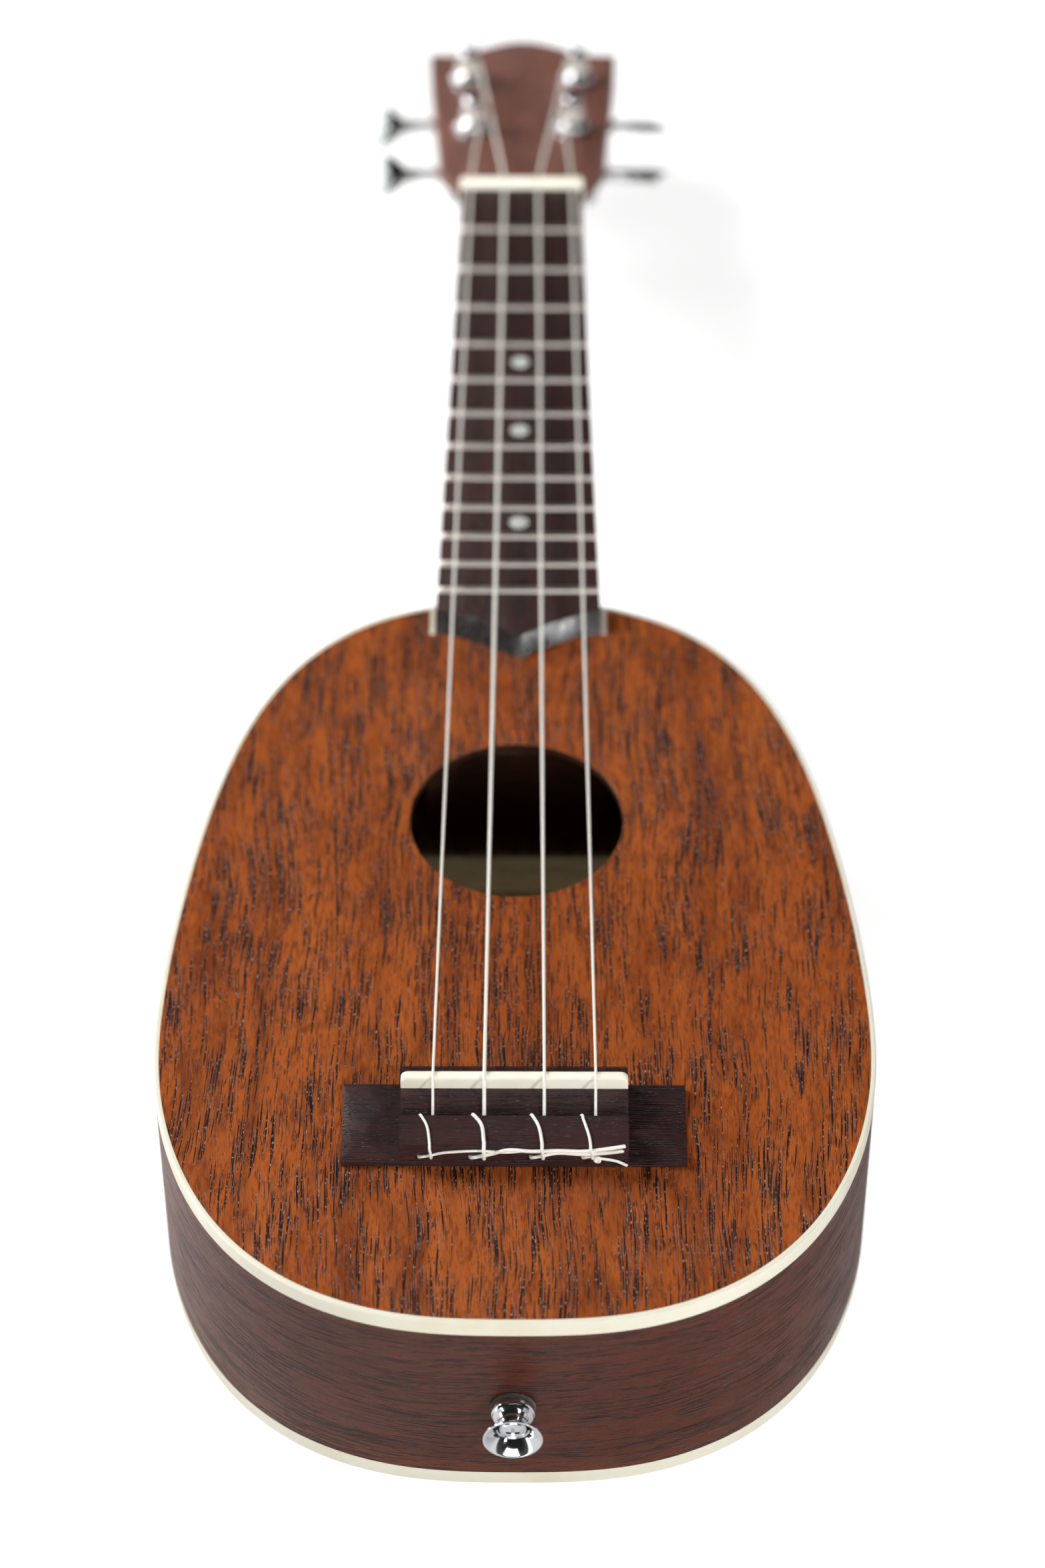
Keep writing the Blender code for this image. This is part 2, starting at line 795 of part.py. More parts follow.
# ---------------------------------------------------------------- bridge and saddle

def bridge_rings():
    points = [
        (BRIDGE_REAR, FIT),
        (BRIDGE_REAR, TIE_TALL),
        (TIE_FRONT, TIE_TALL),
        (TIE_FRONT, CHANNEL_TALL),
        (LEDGE_REAR, LEDGE_TALL),
        (-SLOT_HALF, LEDGE_TALL),
        (-SLOT_HALF, SLOT_FLOOR),
        (SLOT_HALF, SLOT_FLOOR),
        (SLOT_HALF, RIDGE_TALL),
        (BRIDGE_FRONT, RIDGE_TALL),
        (BRIDGE_FRONT, FIT),
    ]
    return [[(x, y, z) for y, z in points] for x in (-BRIDGE_HALF, BRIDGE_HALF)]


def string_hole_matrix(x):
    """A frame whose z axis runs through the tie block, from its front to its rear."""
    middle = Vector((x, (TIE_FRONT + BRIDGE_REAR) / 2, TIE_HOLE_TALL))
    return Matrix.Translation(middle) @ Matrix.Rotation(math.pi / 2, 4, "X")


def make_bridge():
    """A low plate with a raised block in its middle, carved from one piece."""
    bridge = loft("bridge", bridge_rings(), rosewood())
    bm = bmesh.new()
    for side in (-1, 1):
        ends = sorted((side * BLOCK_HALF, side * (BRIDGE_HALF + 0.001)))
        low = (ends[0], BRIDGE_REAR - 0.001, WING_TALL)
        box_into(bm, low, (ends[1], BRIDGE_FRONT + 0.001, RIDGE_TALL + 0.001))
    carve(bridge, "cut_wings", bm)
    bm = bmesh.new()
    for side in (-1, 1):
        centre = side * (BRIDGE_HALF - SCOOP_DEEP + SCOOP_RADIUS)
        lift = 0.002
        low_z = WING_TALL - 0.0012
        radii = [SCOOP_RADIUS - (WING_TALL - z) / math.tan(SCOOP_SLOPE) for z in (low_z, WING_TALL + lift)]
        rings = [circle(radii[0], 64, low_z), circle(radii[1], 64, WING_TALL + lift)]
        middle = (BRIDGE_FRONT + BRIDGE_REAR) / 2
        loft_into(bm, [[(centre + x, middle + y, z) for x, y, z in ring] for ring in rings])
    carve(bridge, "cut_wing_scoops", bm)
    bm = bmesh.new()
    for saddle_x, _, _ in STRINGS.values():
        for step in (0.0, TIE_HOLE_STEP):
            cylinder_into(bm, string_hole_matrix(saddle_x + step), TIE_HOLE_RADIUS, -0.006, 0.006, 10)
    carve(bridge, "cut_string_holes", bm)
    place(bridge, (0.0, 0.0, DEPTH))


def make_saddle():
    """A bone strip with rounded top corners and a crowned top."""
    corner = 0.0018
    outline_points = [(-SADDLE_HALF_LONG, SLOT_FLOOR + FIT)]
    for i in range(5):
        angle = math.pi * (1 - i / 8)
        outline_points.append((
            -SADDLE_HALF_LONG + corner + corner * math.cos(angle),
            SADDLE_TALL - corner + corner * math.sin(angle),
        ))
    outline_points += [(-x, z) for x, z in reversed(outline_points)]
    rings = []
    for y, inset in ((-1.0, 0.0006), (-0.5, 0.00012), (0.0, 0.0), (0.5, 0.00012), (1.0, 0.0006)):
        ring = []
        for x, z in outline_points:
            crown = inset if z > RIDGE_TALL + 0.001 else 0.0
            ring.append((x, y * SADDLE_HALF_THICK, z - crown))
        rings.append(ring)
    saddle = loft("saddle", rings, bone(), smooth_angle=35.0)
    place(saddle, (0.0, 0.0, DEPTH))


# ---------------------------------------------------------------- strings

def rounded_path(corners, reach):
    """Corner points with each bend cut short and rounded by three points."""
    path = [Vector(corners[0])]
    for before, here, after in zip(corners, corners[1:], corners[2:]):
        here = Vector(here)
        back = Vector(before) - here
        ahead = Vector(after) - here
        cut = min(reach, back.length * 0.45, ahead.length * 0.45)
        start, end = here + back.normalized() * cut, here + ahead.normalized() * cut
        path += [start, start * 0.25 + here * 0.5 + end * 0.25, end]
    path.append(Vector(corners[-1]))
    return path


def tube_rings(path, radius, sides):
    """Rings square to the path, mitred at its bends, without twist."""
    ahead = [(b - a).normalized() for a, b in zip(path, path[1:])]
    up = ahead[0].orthogonal().normalized()
    rings = []
    for i, point in enumerate(path):
        before, after = ahead[max(0, i - 1)], ahead[min(i, len(ahead) - 1)]
        if i:
            up = before.rotation_difference(after) @ up
        along = (before + after).normalized()
        stretch = 1 / max(0.5, along.dot(after))
        side = along.cross(up).normalized()
        top = side.cross(along)
        bend = (after - before)
        ring = []
        for k in range(sides):
            angle = 2 * math.pi * k / sides
            spoke = side * math.cos(angle) + top * math.sin(angle)
            if bend.length > 1e-6:
                outward = bend.normalized()
                spoke += outward * spoke.dot(outward) * (stretch - 1)
            ring.append(point + spoke * radius)
        rings.append(ring)
    return rings


def string_corners(name):
    """Where a string turns: hole, loop over the tie block, hole, saddle, nut, post."""
    saddle_x, nut_x, radius = STRINGS[name]
    side, post_x, along, _ = TUNERS[name]
    loop_x = saddle_x + TIE_HOLE_STEP
    base = DEPTH
    stand_off = 3 * radius + 0.0003
    skim = radius + 0.0001
    hole = base + TIE_HOLE_TALL
    block_top = base + TIE_TALL + skim
    beyond_nut = SCALE + NUT_THICK * 0.55
    nut_top = base + NUT_TALL - NUT_SLOT_DEEP + radius + 0.00008
    post_side = side * (post_x - POST_WAIST) - side * (radius + 0.0003)
    return [
        (saddle_x + 0.0030, BRIDGE_REAR - skim, hole + 0.0010),
        (loop_x + 0.0008, BRIDGE_REAR - skim, hole),
        (loop_x, BRIDGE_REAR - skim * 0.5, hole),
        (loop_x, TIE_FRONT + skim, hole),
        (loop_x, TIE_FRONT + skim, block_top),
        (saddle_x, BRIDGE_REAR - stand_off, block_top),
        (saddle_x, BRIDGE_REAR - stand_off, hole),
        (saddle_x, TIE_FRONT + 0.0010, hole),
        (saddle_x, -SADDLE_HALF_THICK - 0.0003, base + SADDLE_TALL - 0.0003 + radius),
        (saddle_x, 0.0, base + SADDLE_TALL + radius + 0.0001),
        (nut_x, SCALE + 0.0006, nut_top),
        (nut_x, beyond_nut, nut_top - 0.00022),
        head_point(post_side, along - 0.0012, POST_WAIST_HIGH - 0.0014),
        head_point(post_side, along + 0.0012, POST_WAIST_HIGH - 0.0012),
    ]


def make_strings():
    for name, (_, _, radius) in STRINGS.items():
        path = rounded_path(string_corners(name), 2.2 * radius)
        loft(f"string_{name}", tube_rings(path, radius, STRING_SIDES), nylon(), smooth_angle=60.0)


# ---------------------------------------------------------------- strap button

def strap_matrix():
    """A frame on the tail's side, with z pointing out of it."""
    spot = Vector((0.0, edge_y(0.0, -BINDING_WIDE, False), STRAP_Z))
    return Matrix.Translation(spot) @ Matrix.Rotation(math.pi / 2, 4, "X")


def make_strap_button():
    where = strap_matrix()
    turned = where.to_euler()
    pieces = (("strap_washer", STRAP_WASHER, felt()), ("strap_button", STRAP_BUTTON, chrome()))
    for name, profile, mat in pieces:
        ring_list = lathe_rings(profile, STRAP_SEGMENTS)
        piece = loft(name, ring_list, mat, close_loop=True, smooth_angle=35.0)
        place(piece, where.translation, turned)
    piece = loft("strap_screw", lathe_rings(STRAP_SCREW, 16), chrome(), smooth_angle=35.0)
    place(piece, where.translation, turned)
    bm = bmesh.new()
    cross = []
    for quarter in range(4):
        turn = math.pi / 2 * quarter
        for x, y in ((RECESS_ARM, -RECESS_HALF), (RECESS_ARM, RECESS_HALF), (RECESS_HALF, RECESS_HALF)):
            cross.append((x * math.cos(turn) - y * math.sin(turn), x * math.sin(turn) + y * math.cos(turn)))
    loft_into(bm, [[(x, y, z) for x, y in cross] for z in (RECESS_FLOOR, RECESS_FLOOR + 0.0024)])
    carve(piece, "cut_screw_recess", bm)


# ---------------------------------------------------------------- tuners

def tuner_matrix(name):
    """The frame of one tuner, in the ukulele's frame."""
    side, x, along, _ = TUNERS[name]
    spot = Vector(head_point(side * x, along, 0.0))
    turn = Matrix.Rotation(-side * TUNER_TURN, 4, "Z")
    return Matrix.Translation(spot) @ Matrix.Rotation(-HEAD_TILT, 4, "X") @ turn


def tuner_frame(name):
    frame = bpy.data.objects.new(f"tuner_{name}", None)
    bpy.context.scene.collection.objects.link(frame)
    frame.matrix_world = tuner_matrix(name)
    frame.empty_display_size = 0.01
    return frame


def rounded_box_ring(low, high, corner, z):
    ring = []
    for cx, cy, start in (
        (high[0] - corner, high[1] - corner, 0.0),
        (low[0] + corner, high[1] - corner, 0.5),
        (low[0] + corner, low[1] + corner, 1.0),
        (high[0] - corner, low[1] + corner, 1.5),
    ):
        for i in range(4):
            angle = math.pi * (start + i / 6)
            ring.append((cx + corner * math.cos(angle), cy + corner * math.sin(angle), z))
    return ring


def make_housing(name, side, frame):
    """The gear housing behind the headstock, open where the shafts leave it."""
    shrink = 0.0012
    rings = [
        rounded_box_ring(HOUSING_LOW, HOUSING_HIGH, 0.0026, HOUSING_TOP),
        rounded_box_ring(HOUSING_LOW, HOUSING_HIGH, 0.0026, HOUSING_BOTTOM + shrink),
        rounded_box_ring(
            [v + shrink for v in HOUSING_LOW], [v - shrink for v in HOUSING_HIGH], 0.0018, HOUSING_BOTTOM
        ),
    ]
    mirrored = [[(side * x, y, z) for x, y, z in ring] for ring in rings]
    housing = loft(f"tuner_{name}_housing", mirrored, chrome(), smooth_angle=40.0, parent=frame)
    wall = HOUSING_WALL
    bm = bmesh.new()
    low = (HOUSING_LOW[0] + wall + 0.0012, HOUSING_LOW[1] + wall, HOUSING_BOTTOM + wall)
    high = (HOUSING_HIGH[0] - wall, HOUSING_HIGH[1] - wall, HOUSING_TOP - wall)
    box_into(bm, low, high)
    bmesh.ops.scale(bm, vec=(side, 1, 1), verts=bm.verts)
    add_tuner_cut(housing, bm, f"cut_cavity_{name}", frame)
    bm = bmesh.new()
    cylinder_into(bm, Matrix.Identity(4), POST_RADIUS + 0.0002, HOUSING_TOP - wall - 0.0010, HOUSING_TOP + 0.001)
    add_tuner_cut(housing, bm, f"cut_post_way_{name}", frame)
    bm = bmesh.new()
    cylinder_into(bm, shaft_matrix(side), SHAFT_RADIUS + 0.0002, SHAFT_INNER_END - 0.0002, 0.0100)
    add_tuner_cut(housing, bm, f"cut_shaft_way_{name}", frame)


def add_tuner_cut(obj, bm, name, frame):
    tool = cutter(name, bm)
    tool.parent = frame
    boolean(obj, tool)


def shaft_matrix(side):
    """The worm shaft's frame in the tuner's frame: z runs out to the button."""
    turn = Matrix.Rotation(side * math.pi / 2, 4, "Y")
    return Matrix.Translation((0.0, CENTRES, GEAR_Z)) @ turn


def hex_circle(apothem, z, segments=18):
    ring = []
    for i in range(segments):
        angle = 2 * math.pi * i / segments
        within = (angle % (math.pi / 3)) - math.pi / 6
        radius = apothem / math.cos(within)
        ring.append((radius * math.cos(angle), radius * math.sin(angle), z))
    return ring


def make_bushing(name, frame):
    """The sleeve through the headstock, with a washer face and a hexagon."""
    bore = POST_RADIUS + 0.0002
    sleeve = POST_HOLE - 0.0002
    rings = [
        circle(sleeve, 18, -HEAD_THICK + 0.0002),
        circle(sleeve, 18, 0.0001),
        circle(0.0056, 18, 0.0001),
        circle(0.0055, 18, 0.0008),
        hex_circle(0.0044, 0.0008),
        hex_circle(0.0044, 0.0026),
        circle(0.0041, 18, 0.0031),
        circle(bore, 18, 0.0031),
        circle(bore, 18, -HEAD_THICK + 0.0002),
    ]
    loft(f"tuner_{name}_bushing", rings, chrome(), close_loop=True, smooth_angle=35.0, parent=frame)


def wheel_ring(z, twist):
    """One outline of the worm wheel, turned by twist, with a tooth on +y."""
    tip, root = WHEEL_RADIUS + ADDENDUM, WHEEL_RADIUS - DEDENDUM
    tip_half = (TOOTH_THICK / 2 - ADDENDUM * FLANK) / tip
    root_half = (TOOTH_THICK / 2 + DEDENDUM * FLANK) / root
    ring = []
    for tooth in range(TEETH):
        middle = math.pi / 2 + 2 * math.pi * tooth / TEETH + twist
        for offset, radius in ((-root_half, root), (-tip_half, tip), (tip_half, tip), (root_half, root)):
            angle = middle + offset
            ring.append((radius * math.cos(angle), radius * math.sin(angle), z))
    return ring


def make_post(name, side, frame):
    """The string post, in one with its worm wheel."""
    profile = [
        (0.0020, POST_BOTTOM),
        (0.0024, GEAR_Z),
        (POST_RADIUS, GEAR_Z + WHEEL_WIDE / 2 - 0.0002),
        (POST_RADIUS, POST_WAIST_LOW - 0.0008),
        (POST_WAIST, POST_WAIST_LOW),
        (POST_WAIST, POST_WAIST_HIGH),
        (POST_RADIUS, POST_WAIST_HIGH + 0.0012),
        (POST_RADIUS, POST_TOP - 0.0007),
        (POST_RADIUS - 0.0006, POST_TOP),
    ]
    post = loft(f"tuner_{name}_post", lathe_rings(profile, 16), chrome(), smooth_angle=35.0, parent=frame)
    lead_turn = WHEEL_WIDE / 2 * PITCH / (2 * math.pi * WORM_RADIUS) / WHEEL_RADIUS
    bm = bmesh.new()
    loft_into(bm, [
        wheel_ring(GEAR_Z - WHEEL_WIDE / 2, -lead_turn),
        wheel_ring(GEAR_Z + WHEEL_WIDE / 2, lead_turn),
    ])
    tool = cutter(f"join_wheel_{name}", bm)
    tool.parent = frame
    boolean(post, tool, "UNION")
    bm = bmesh.new()
    middle = (POST_WAIST_LOW + POST_WAIST_HIGH) / 2
    across = Matrix.Translation((0.0, 0.0, middle)) @ Matrix.Rotation(math.pi / 2, 4, "X")
    cylinder_into(bm, across, 0.0006, -0.004, 0.004, 8)
    add_tuner_cut(post, bm, f"cut_string_hole_{name}", frame)


def worm_ridge():
    """The worm's thread about z, with a gap facing the wheel at z = 0."""
    steps = 14
    inner = WORM_RADIUS - DEDENDUM - 0.0003
    tip = WORM_RADIUS + ADDENDUM
    inner_half = THREAD_THICK / 2 + (DEDENDUM + 0.0003) * FLANK
    tip_half = THREAD_THICK / 2 - ADDENDUM * FLANK
    rings = []
    for i in range(WORM_TURNS * steps + 1):
        turns = i / steps - WORM_TURNS / 2
        angle = 2 * math.pi * turns + math.pi / 2
        middle = PITCH * turns
        ring = []
        for radius, offset in ((inner, -inner_half), (tip, -tip_half), (tip, tip_half), (inner, inner_half)):
            ring.append((radius * math.cos(angle), radius * math.sin(angle), middle + offset))
        rings.append(ring)
    return rings


def make_worm_shaft(name, side, frame):
    """The shaft from the housing to the button, with the worm cut on it."""
    profile = [
        (SHAFT_RADIUS - 0.0002, SHAFT_INNER_END),
        (SHAFT_RADIUS, SHAFT_INNER_END + 0.0003),
        (SHAFT_RADIUS, SHAFT_OUTER_END),
    ]
    core = WORM_RADIUS - DEDENDUM
    reach = WORM_TURNS * PITCH / 2 + 0.0006
    profile[2:2] = [(SHAFT_RADIUS, -reach), (core, -reach + 0.0002), (core, reach - 0.0002), (SHAFT_RADIUS, reach)]
    rings = lathe_rings(profile, 16, math.pi / 23)
    shaft = loft(f"tuner_{name}_worm_shaft", rings, brass(), smooth_angle=35.0)
    shaft.parent = frame
    shaft.matrix_local = shaft_matrix(side)
    bm = bmesh.new()
    loft_into(bm, worm_ridge())
    thread = cutter(f"join_thread_{name}", bm)
    thread.parent = frame
    thread.matrix_local = shaft_matrix(side)
    boolean(shaft, thread, "UNION")


def button_ring(along, half_wide, half_thick):
    """A section of the button: an oval, squarer where it is wide."""
    ring = []
    power = 0.85 if half_wide > 1.5 * half_thick else 1.0
    for i in range(16):
        angle = 2 * math.pi * i / 16
        c, s = math.cos(angle), math.sin(angle)
        x = half_wide * math.copysign(abs(c) ** power, c)
        y = half_thick * math.copysign(abs(s) ** power, s)
        ring.append((x, y, along))
    return ring


def make_button(name, side, frame):
    """The flared turning button at the end of the worm shaft."""
    rings = [button_ring(*station) for station in BUTTON_STATIONS]
    button = loft(f"tuner_{name}_button", rings, chrome(), smooth_angle=50.0)
    button.parent = frame
    rest = math.radians(TUNERS[name][3])
    offset = Matrix.Translation((0.0, 0.0, BUTTON_INNER_END))
    turn = Matrix.Rotation(side * rest + math.pi / 2, 4, "Z")
    button.matrix_local = shaft_matrix(side) @ offset @ turn
    bm = bmesh.new()
    cylinder_into(bm, Matrix.Identity(4), SHAFT_RADIUS + FIT, -0.001, SHAFT_OUTER_END - BUTTON_INNER_END + 0.0001)
    tool = cutter(f"cut_button_bore_{name}", bm)
    tool.parent = frame
    tool.matrix_local = shaft_matrix(side) @ offset
    boolean(button, tool)


def make_tuners():
    for name, (side, _, _, _) in TUNERS.items():
        frame = tuner_frame(name)
        make_housing(name, side, frame)
        make_bushing(name, frame)
        make_post(name, side, frame)
        make_worm_shaft(name, side, frame)
        make_button(name, side, frame)


# ---------------------------------------------------------------- build

def build():
    clear_scene()
    make_soundboard()
    make_back_plate()
    make_side_rim()
    make_bindings()
    make_linings()
    make_blocks()
    make_braces()
    make_neck()
    make_fingerboard()
    make_frets()
    make_dots()
    make_nut()
    make_bridge()
    make_saddle()
    make_strings()
    make_strap_button()
    make_tuners()


build()
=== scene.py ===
"""The looks of the soprano pineapple ukulele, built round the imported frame.

Sizes are metres in the frame's axes: +X right, +Y from the tail to the headstock and
+Z out of the soundboard. Pieces take their places from the frame's nodes and joints.
"""

import json
import math
import random

import bmesh
import bpy
import numpy as np
from mathutils import Matrix, Vector


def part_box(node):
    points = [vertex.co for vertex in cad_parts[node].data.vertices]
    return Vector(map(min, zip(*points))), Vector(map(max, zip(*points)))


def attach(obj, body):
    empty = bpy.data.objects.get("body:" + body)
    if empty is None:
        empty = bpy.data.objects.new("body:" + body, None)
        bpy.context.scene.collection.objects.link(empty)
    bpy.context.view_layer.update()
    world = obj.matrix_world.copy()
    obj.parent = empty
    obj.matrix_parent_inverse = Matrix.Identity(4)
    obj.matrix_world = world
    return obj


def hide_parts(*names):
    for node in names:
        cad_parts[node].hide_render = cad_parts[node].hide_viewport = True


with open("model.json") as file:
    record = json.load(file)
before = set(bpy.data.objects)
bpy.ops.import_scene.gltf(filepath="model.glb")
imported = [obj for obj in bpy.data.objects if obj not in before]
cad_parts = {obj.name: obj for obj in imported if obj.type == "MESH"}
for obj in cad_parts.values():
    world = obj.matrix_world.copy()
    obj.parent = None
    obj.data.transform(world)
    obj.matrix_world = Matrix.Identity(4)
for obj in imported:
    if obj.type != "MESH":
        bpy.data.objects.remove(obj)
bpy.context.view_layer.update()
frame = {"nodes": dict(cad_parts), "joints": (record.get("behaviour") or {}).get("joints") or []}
NODES = frame["nodes"]
JOINTS = {joint["name"]: joint for joint in frame["joints"]}
BODY = "instrument"
TUNERS = {"g": -1, "c": -1, "e": 1, "a": 1}   # string: side of the headstock


# ---------------------------------------------------------------- places from the frame

def low(node):
    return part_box(node)[0]


def high(node):
    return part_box(node)[1]


def corners(node):
    """The node's vertices, one in each row."""
    return np.array([v.co for v in NODES[node].data.vertices])


TOP = high("soundboard").z
PLATE = TOP - low("soundboard").z
BACK = low("back_plate").z
BINDING_WIDE = high("top_binding").x - high("soundboard").x
BINDING_TALL = TOP - low("top_binding").z
SIDE_THICK = BINDING_WIDE + 0.0008
BOARD_LOW = low("fingerboard").z
BOARD_TOP = high("fingerboard").z
NUT_Y = low("nut").y
TIE_REAR = low("bridge").y
SADDLE_TOP = high("saddle").z
SCALE = NUT_Y
FRETS = 12
HEAD_TILT = math.acos(JOINTS["tuner_e_wind"]["axis"][2])
HEAD_Y = 0.350
GEAR_TEETH = 14


# ---------------------------------------------------------------- shader helpers

class Shader:
    """Builds one procedural material, node by node."""

    def __init__(self, name):
        self.material = bpy.data.materials.new(name)
        self.material.use_nodes = True
        self.tree = self.material.node_tree
        self.bsdf = self.tree.nodes["Principled BSDF"]

    def node(self, kind, inputs=None, **settings):
        made = self.tree.nodes.new("ShaderNode" + kind)
        for key, value in settings.items():
            setattr(made, key, value)
        for key, value in (inputs or {}).items():
            self.plug(made.inputs[key], value)
        return made

    def plug(self, target, value):
        if isinstance(value, bpy.types.NodeSocket):
            self.tree.links.new(value, target)
        else:
            target.default_value = value

    def surface(self, **values):
        for key, value in values.items():
            self.plug(self.bsdf.inputs[key.replace("_", " ")], value)

    def coords(self, along="Y", from_uv=False):
        """Coordinates in metres, turned so that the grain runs along the second one."""
        place = self.node("TexCoord").outputs["UV" if from_uv else "Object"]
        if along == "Y":
            return place
        apart = self.node("SeparateXYZ", {"Vector": place})
        swapped = {"X": apart.outputs["Y"], "Y": apart.outputs["X"], "Z": apart.outputs["Z"]}
        return self.node("CombineXYZ", swapped).outputs["Vector"]

    def stretched(self, place, across, along):
        scales = (across, along, across)
        return self.node("VectorMath", {0: place, 1: scales}, operation="MULTIPLY").outputs["Vector"]

    def warped(self, place, scales, amount):
        """Bends the coordinates sideways, by up to amount, as grain wanders."""
        wave = self.noise(self.stretched(place, *scales), detail=2.0)
        shift = self.node("MapRange", {"Value": wave, "To Min": -amount, "To Max": amount})
        offset = self.node("CombineXYZ", {"X": shift.outputs["Result"]}).outputs["Vector"]
        return self.node("VectorMath", {0: place, 1: offset}, operation="ADD").outputs["Vector"]

    def noise(self, place, scale=1.0, detail=3.0, rough=0.55, distortion=0.0):
        inputs = {"Vector": place, "Scale": scale, "Detail": detail, "Roughness": rough}
        return self.node("TexNoise", {**inputs, "Distortion": distortion}).outputs["Fac"]

    def cells(self, place):
        return self.node("TexVoronoi", {"Vector": place, "Scale": 1.0}).outputs["Distance"]

    def span(self, value, start, end, to_start=0.0, to_end=1.0):
        """A smooth step from start to end."""
        inputs = {"Value": value, "From Min": start, "From Max": end, "To Min": to_start, "To Max": to_end}
        return self.node("MapRange", inputs, interpolation_type="SMOOTHSTEP").outputs["Result"]

    def math(self, operation, first, second):
        return self.node("Math", {0: first, 1: second}, operation=operation).outputs["Value"]

    def times(self, first, second):
        return self.math("MULTIPLY", first, second)

    def mix(self, amount, first, second):
        made = self.node("Mix", data_type="RGBA")
        for index, value in ((0, amount), (6, first), (7, second)):
            if isinstance(value, tuple):
                value = (*value, 1.0)
            self.plug(made.inputs[index], value)
        return made.outputs[2]

    def bump(self, height, strength, distance):
        inputs = {"Height": height, "Strength": strength, "Distance": distance}
        return self.node("Bump", inputs).outputs["Normal"]


# ---------------------------------------------------------------- materials

GRAIN_WANDER = 0.006   # how far the grain strays sideways


def wood(
    name, light, mid, dark, pore, along="Y", from_uv=False, pores=1.0, gloss=0.42,
    mottle=1.0, offset=0.0, sheen=0.5, painted_glint=0.0, glow=0.0,
):
    """Open-pored wood: broad figure, ribbon, mottle, fibres, and dark pores along the grain, with optional
    painted glints in the pores and an optional painted glow.
    """
    s = Shader(name)
    base = s.coords(along, from_uv)
    base = s.node("VectorMath", {0: base, 1: (offset, offset, offset)}, operation="ADD").outputs["Vector"]
    place = s.warped(s.warped(base, (14.0, 9.0), GRAIN_WANDER), (70.0, 45.0), GRAIN_WANDER * 0.12)
    broad = s.noise(s.stretched(place, 30.0, 5.0), detail=3.0)
    ribbon = s.noise(s.stretched(place, 170.0, 5.0), detail=3.0, rough=0.6)
    patch = s.noise(s.stretched(place, 130.0, 50.0), detail=3.0, distortion=0.4)
    fleck = s.noise(s.stretched(place, 1000.0, 230.0), detail=2.0, distortion=0.5)
    fibre = s.noise(s.stretched(place, 3200.0, 260.0), detail=3.0, rough=0.7)
    colour = s.mix(s.span(broad, 0.30, 0.70), mid, light)
    for layer, start, end, amount, tint in (
        (ribbon, 0.42, 0.72, 0.45, dark),
        (patch, 0.46, 0.68, 0.42 * mottle, dark),
        (fleck, 0.50, 0.68, 0.48 * mottle, dark),
        (fleck, 0.44, 0.30, 0.45 * mottle, light),
        (fibre, 0.45, 0.75, 0.40, dark),
    ):
        colour = s.mix(s.times(s.span(layer, start, end), amount), colour, tint)
    crowd = s.noise(s.stretched(place, 190.0, 40.0), detail=2.0)
    thick = s.span(crowd, 0.32, 0.56, 0.27, 0.54)
    long_pores = s.cells(s.stretched(place, 2100.0, 66.0))
    short_pores = s.cells(s.stretched(place, 2700.0, 260.0))
    edge = s.times(thick, 0.55)
    limits = {"Value": long_pores, "From Min": thick, "From Max": edge}
    long_mask = s.node("MapRange", limits).outputs["Result"]
    short_mask = s.times(s.span(short_pores, 0.36, 0.20), s.span(crowd, 0.35, 0.60, 0.35, 0.95))
    mask = s.math("MAXIMUM", long_mask, short_mask)
    colour = s.mix(s.times(mask, min(1.0, 0.95 * pores)), colour, pore)
    # Painted highlight: pale specks in some pores stand in for light glinting off the lacquer.
    if painted_glint:
        spark = s.noise(s.stretched(base, 3300.0, 900.0), detail=1.0)
        shine = s.times(s.times(mask, s.span(spark, 0.60, 0.70)), painted_glint)
        colour = s.mix(shine, colour, (0.62, 0.46, 0.42))
    height = s.math("SUBTRACT", s.times(fibre, 0.25), s.times(mask, pores))
    rough = s.span(s.math("ADD", fibre, s.times(mask, 0.3)), 0.2, 1.0, gloss - 0.08, gloss + 0.16)
    s.surface(
        Base_Color=colour,
        Roughness=rough,
        Normal=s.bump(height, 0.8, 0.00018),
        Specular_IOR_Level=sheen,
    )
    if glow:
        # Painted light: an emission that stands in for light from the sound hole, falling off towards the
        # neck block.
        deep = s.span(s.node("SeparateXYZ", {"Vector": s.coords()}).outputs["Y"], 0.1400, 0.1320)
        s.surface(Emission_Color=colour, Emission_Strength=s.times(deep, glow))
    return s.material


def plastic(name, colour, stain, gloss, grain=500.0, glow=0.0):
    """Cream binding, nut and saddle: faint clouding, scraper marks and a painted glow, an emission that
    brightens them.
    """
    s = Shader(name)
    place = s.coords()
    cloud = s.noise(s.stretched(place, 60.0, 60.0), detail=4.0)
    speck = s.noise(s.stretched(place, grain * 4, grain), detail=3.0)
    tone = s.mix(s.span(cloud, 0.40, 0.80), colour, stain)
    tone = s.mix(s.times(s.span(speck, 0.55, 0.80), 0.35), tone, stain)
    s.surface(
        Base_Color=tone,
        # Painted light: glow is an emission, not light from any lamp.
        Emission_Color=tone,
        Emission_Strength=glow,
        Roughness=s.span(speck, 0.2, 0.8, gloss - 0.07, gloss + 0.10),
        Normal=s.bump(speck, 0.12, 0.00006),
        Subsurface_Weight=0.08,
        Subsurface_Radius=(0.002, 0.0016, 0.0010),
    )
    return s.material


def metal(name, colour, tarnish, roughness, marks=1.0):
    """Plated or bare metal: light smudges and fine handling scratches."""
    s = Shader(name)
    place = s.coords()
    smudge = s.noise(place, scale=240.0, detail=4.0)
    hair = s.noise(s.stretched(place, 5200.0, 380.0), detail=2.0)
    tone = s.mix(s.times(s.span(smudge, 0.50, 0.80), 0.5), colour, tarnish)
    worn = s.math("ADD", smudge, s.times(hair, 0.3))
    rough = s.span(worn, 0.35, 1.1, roughness, roughness + 0.14)
    s.surface(Base_Color=tone, Metallic=1.0, Roughness=rough, Normal=s.bump(hair, 0.05 * marks, 0.00002))
    return s.material


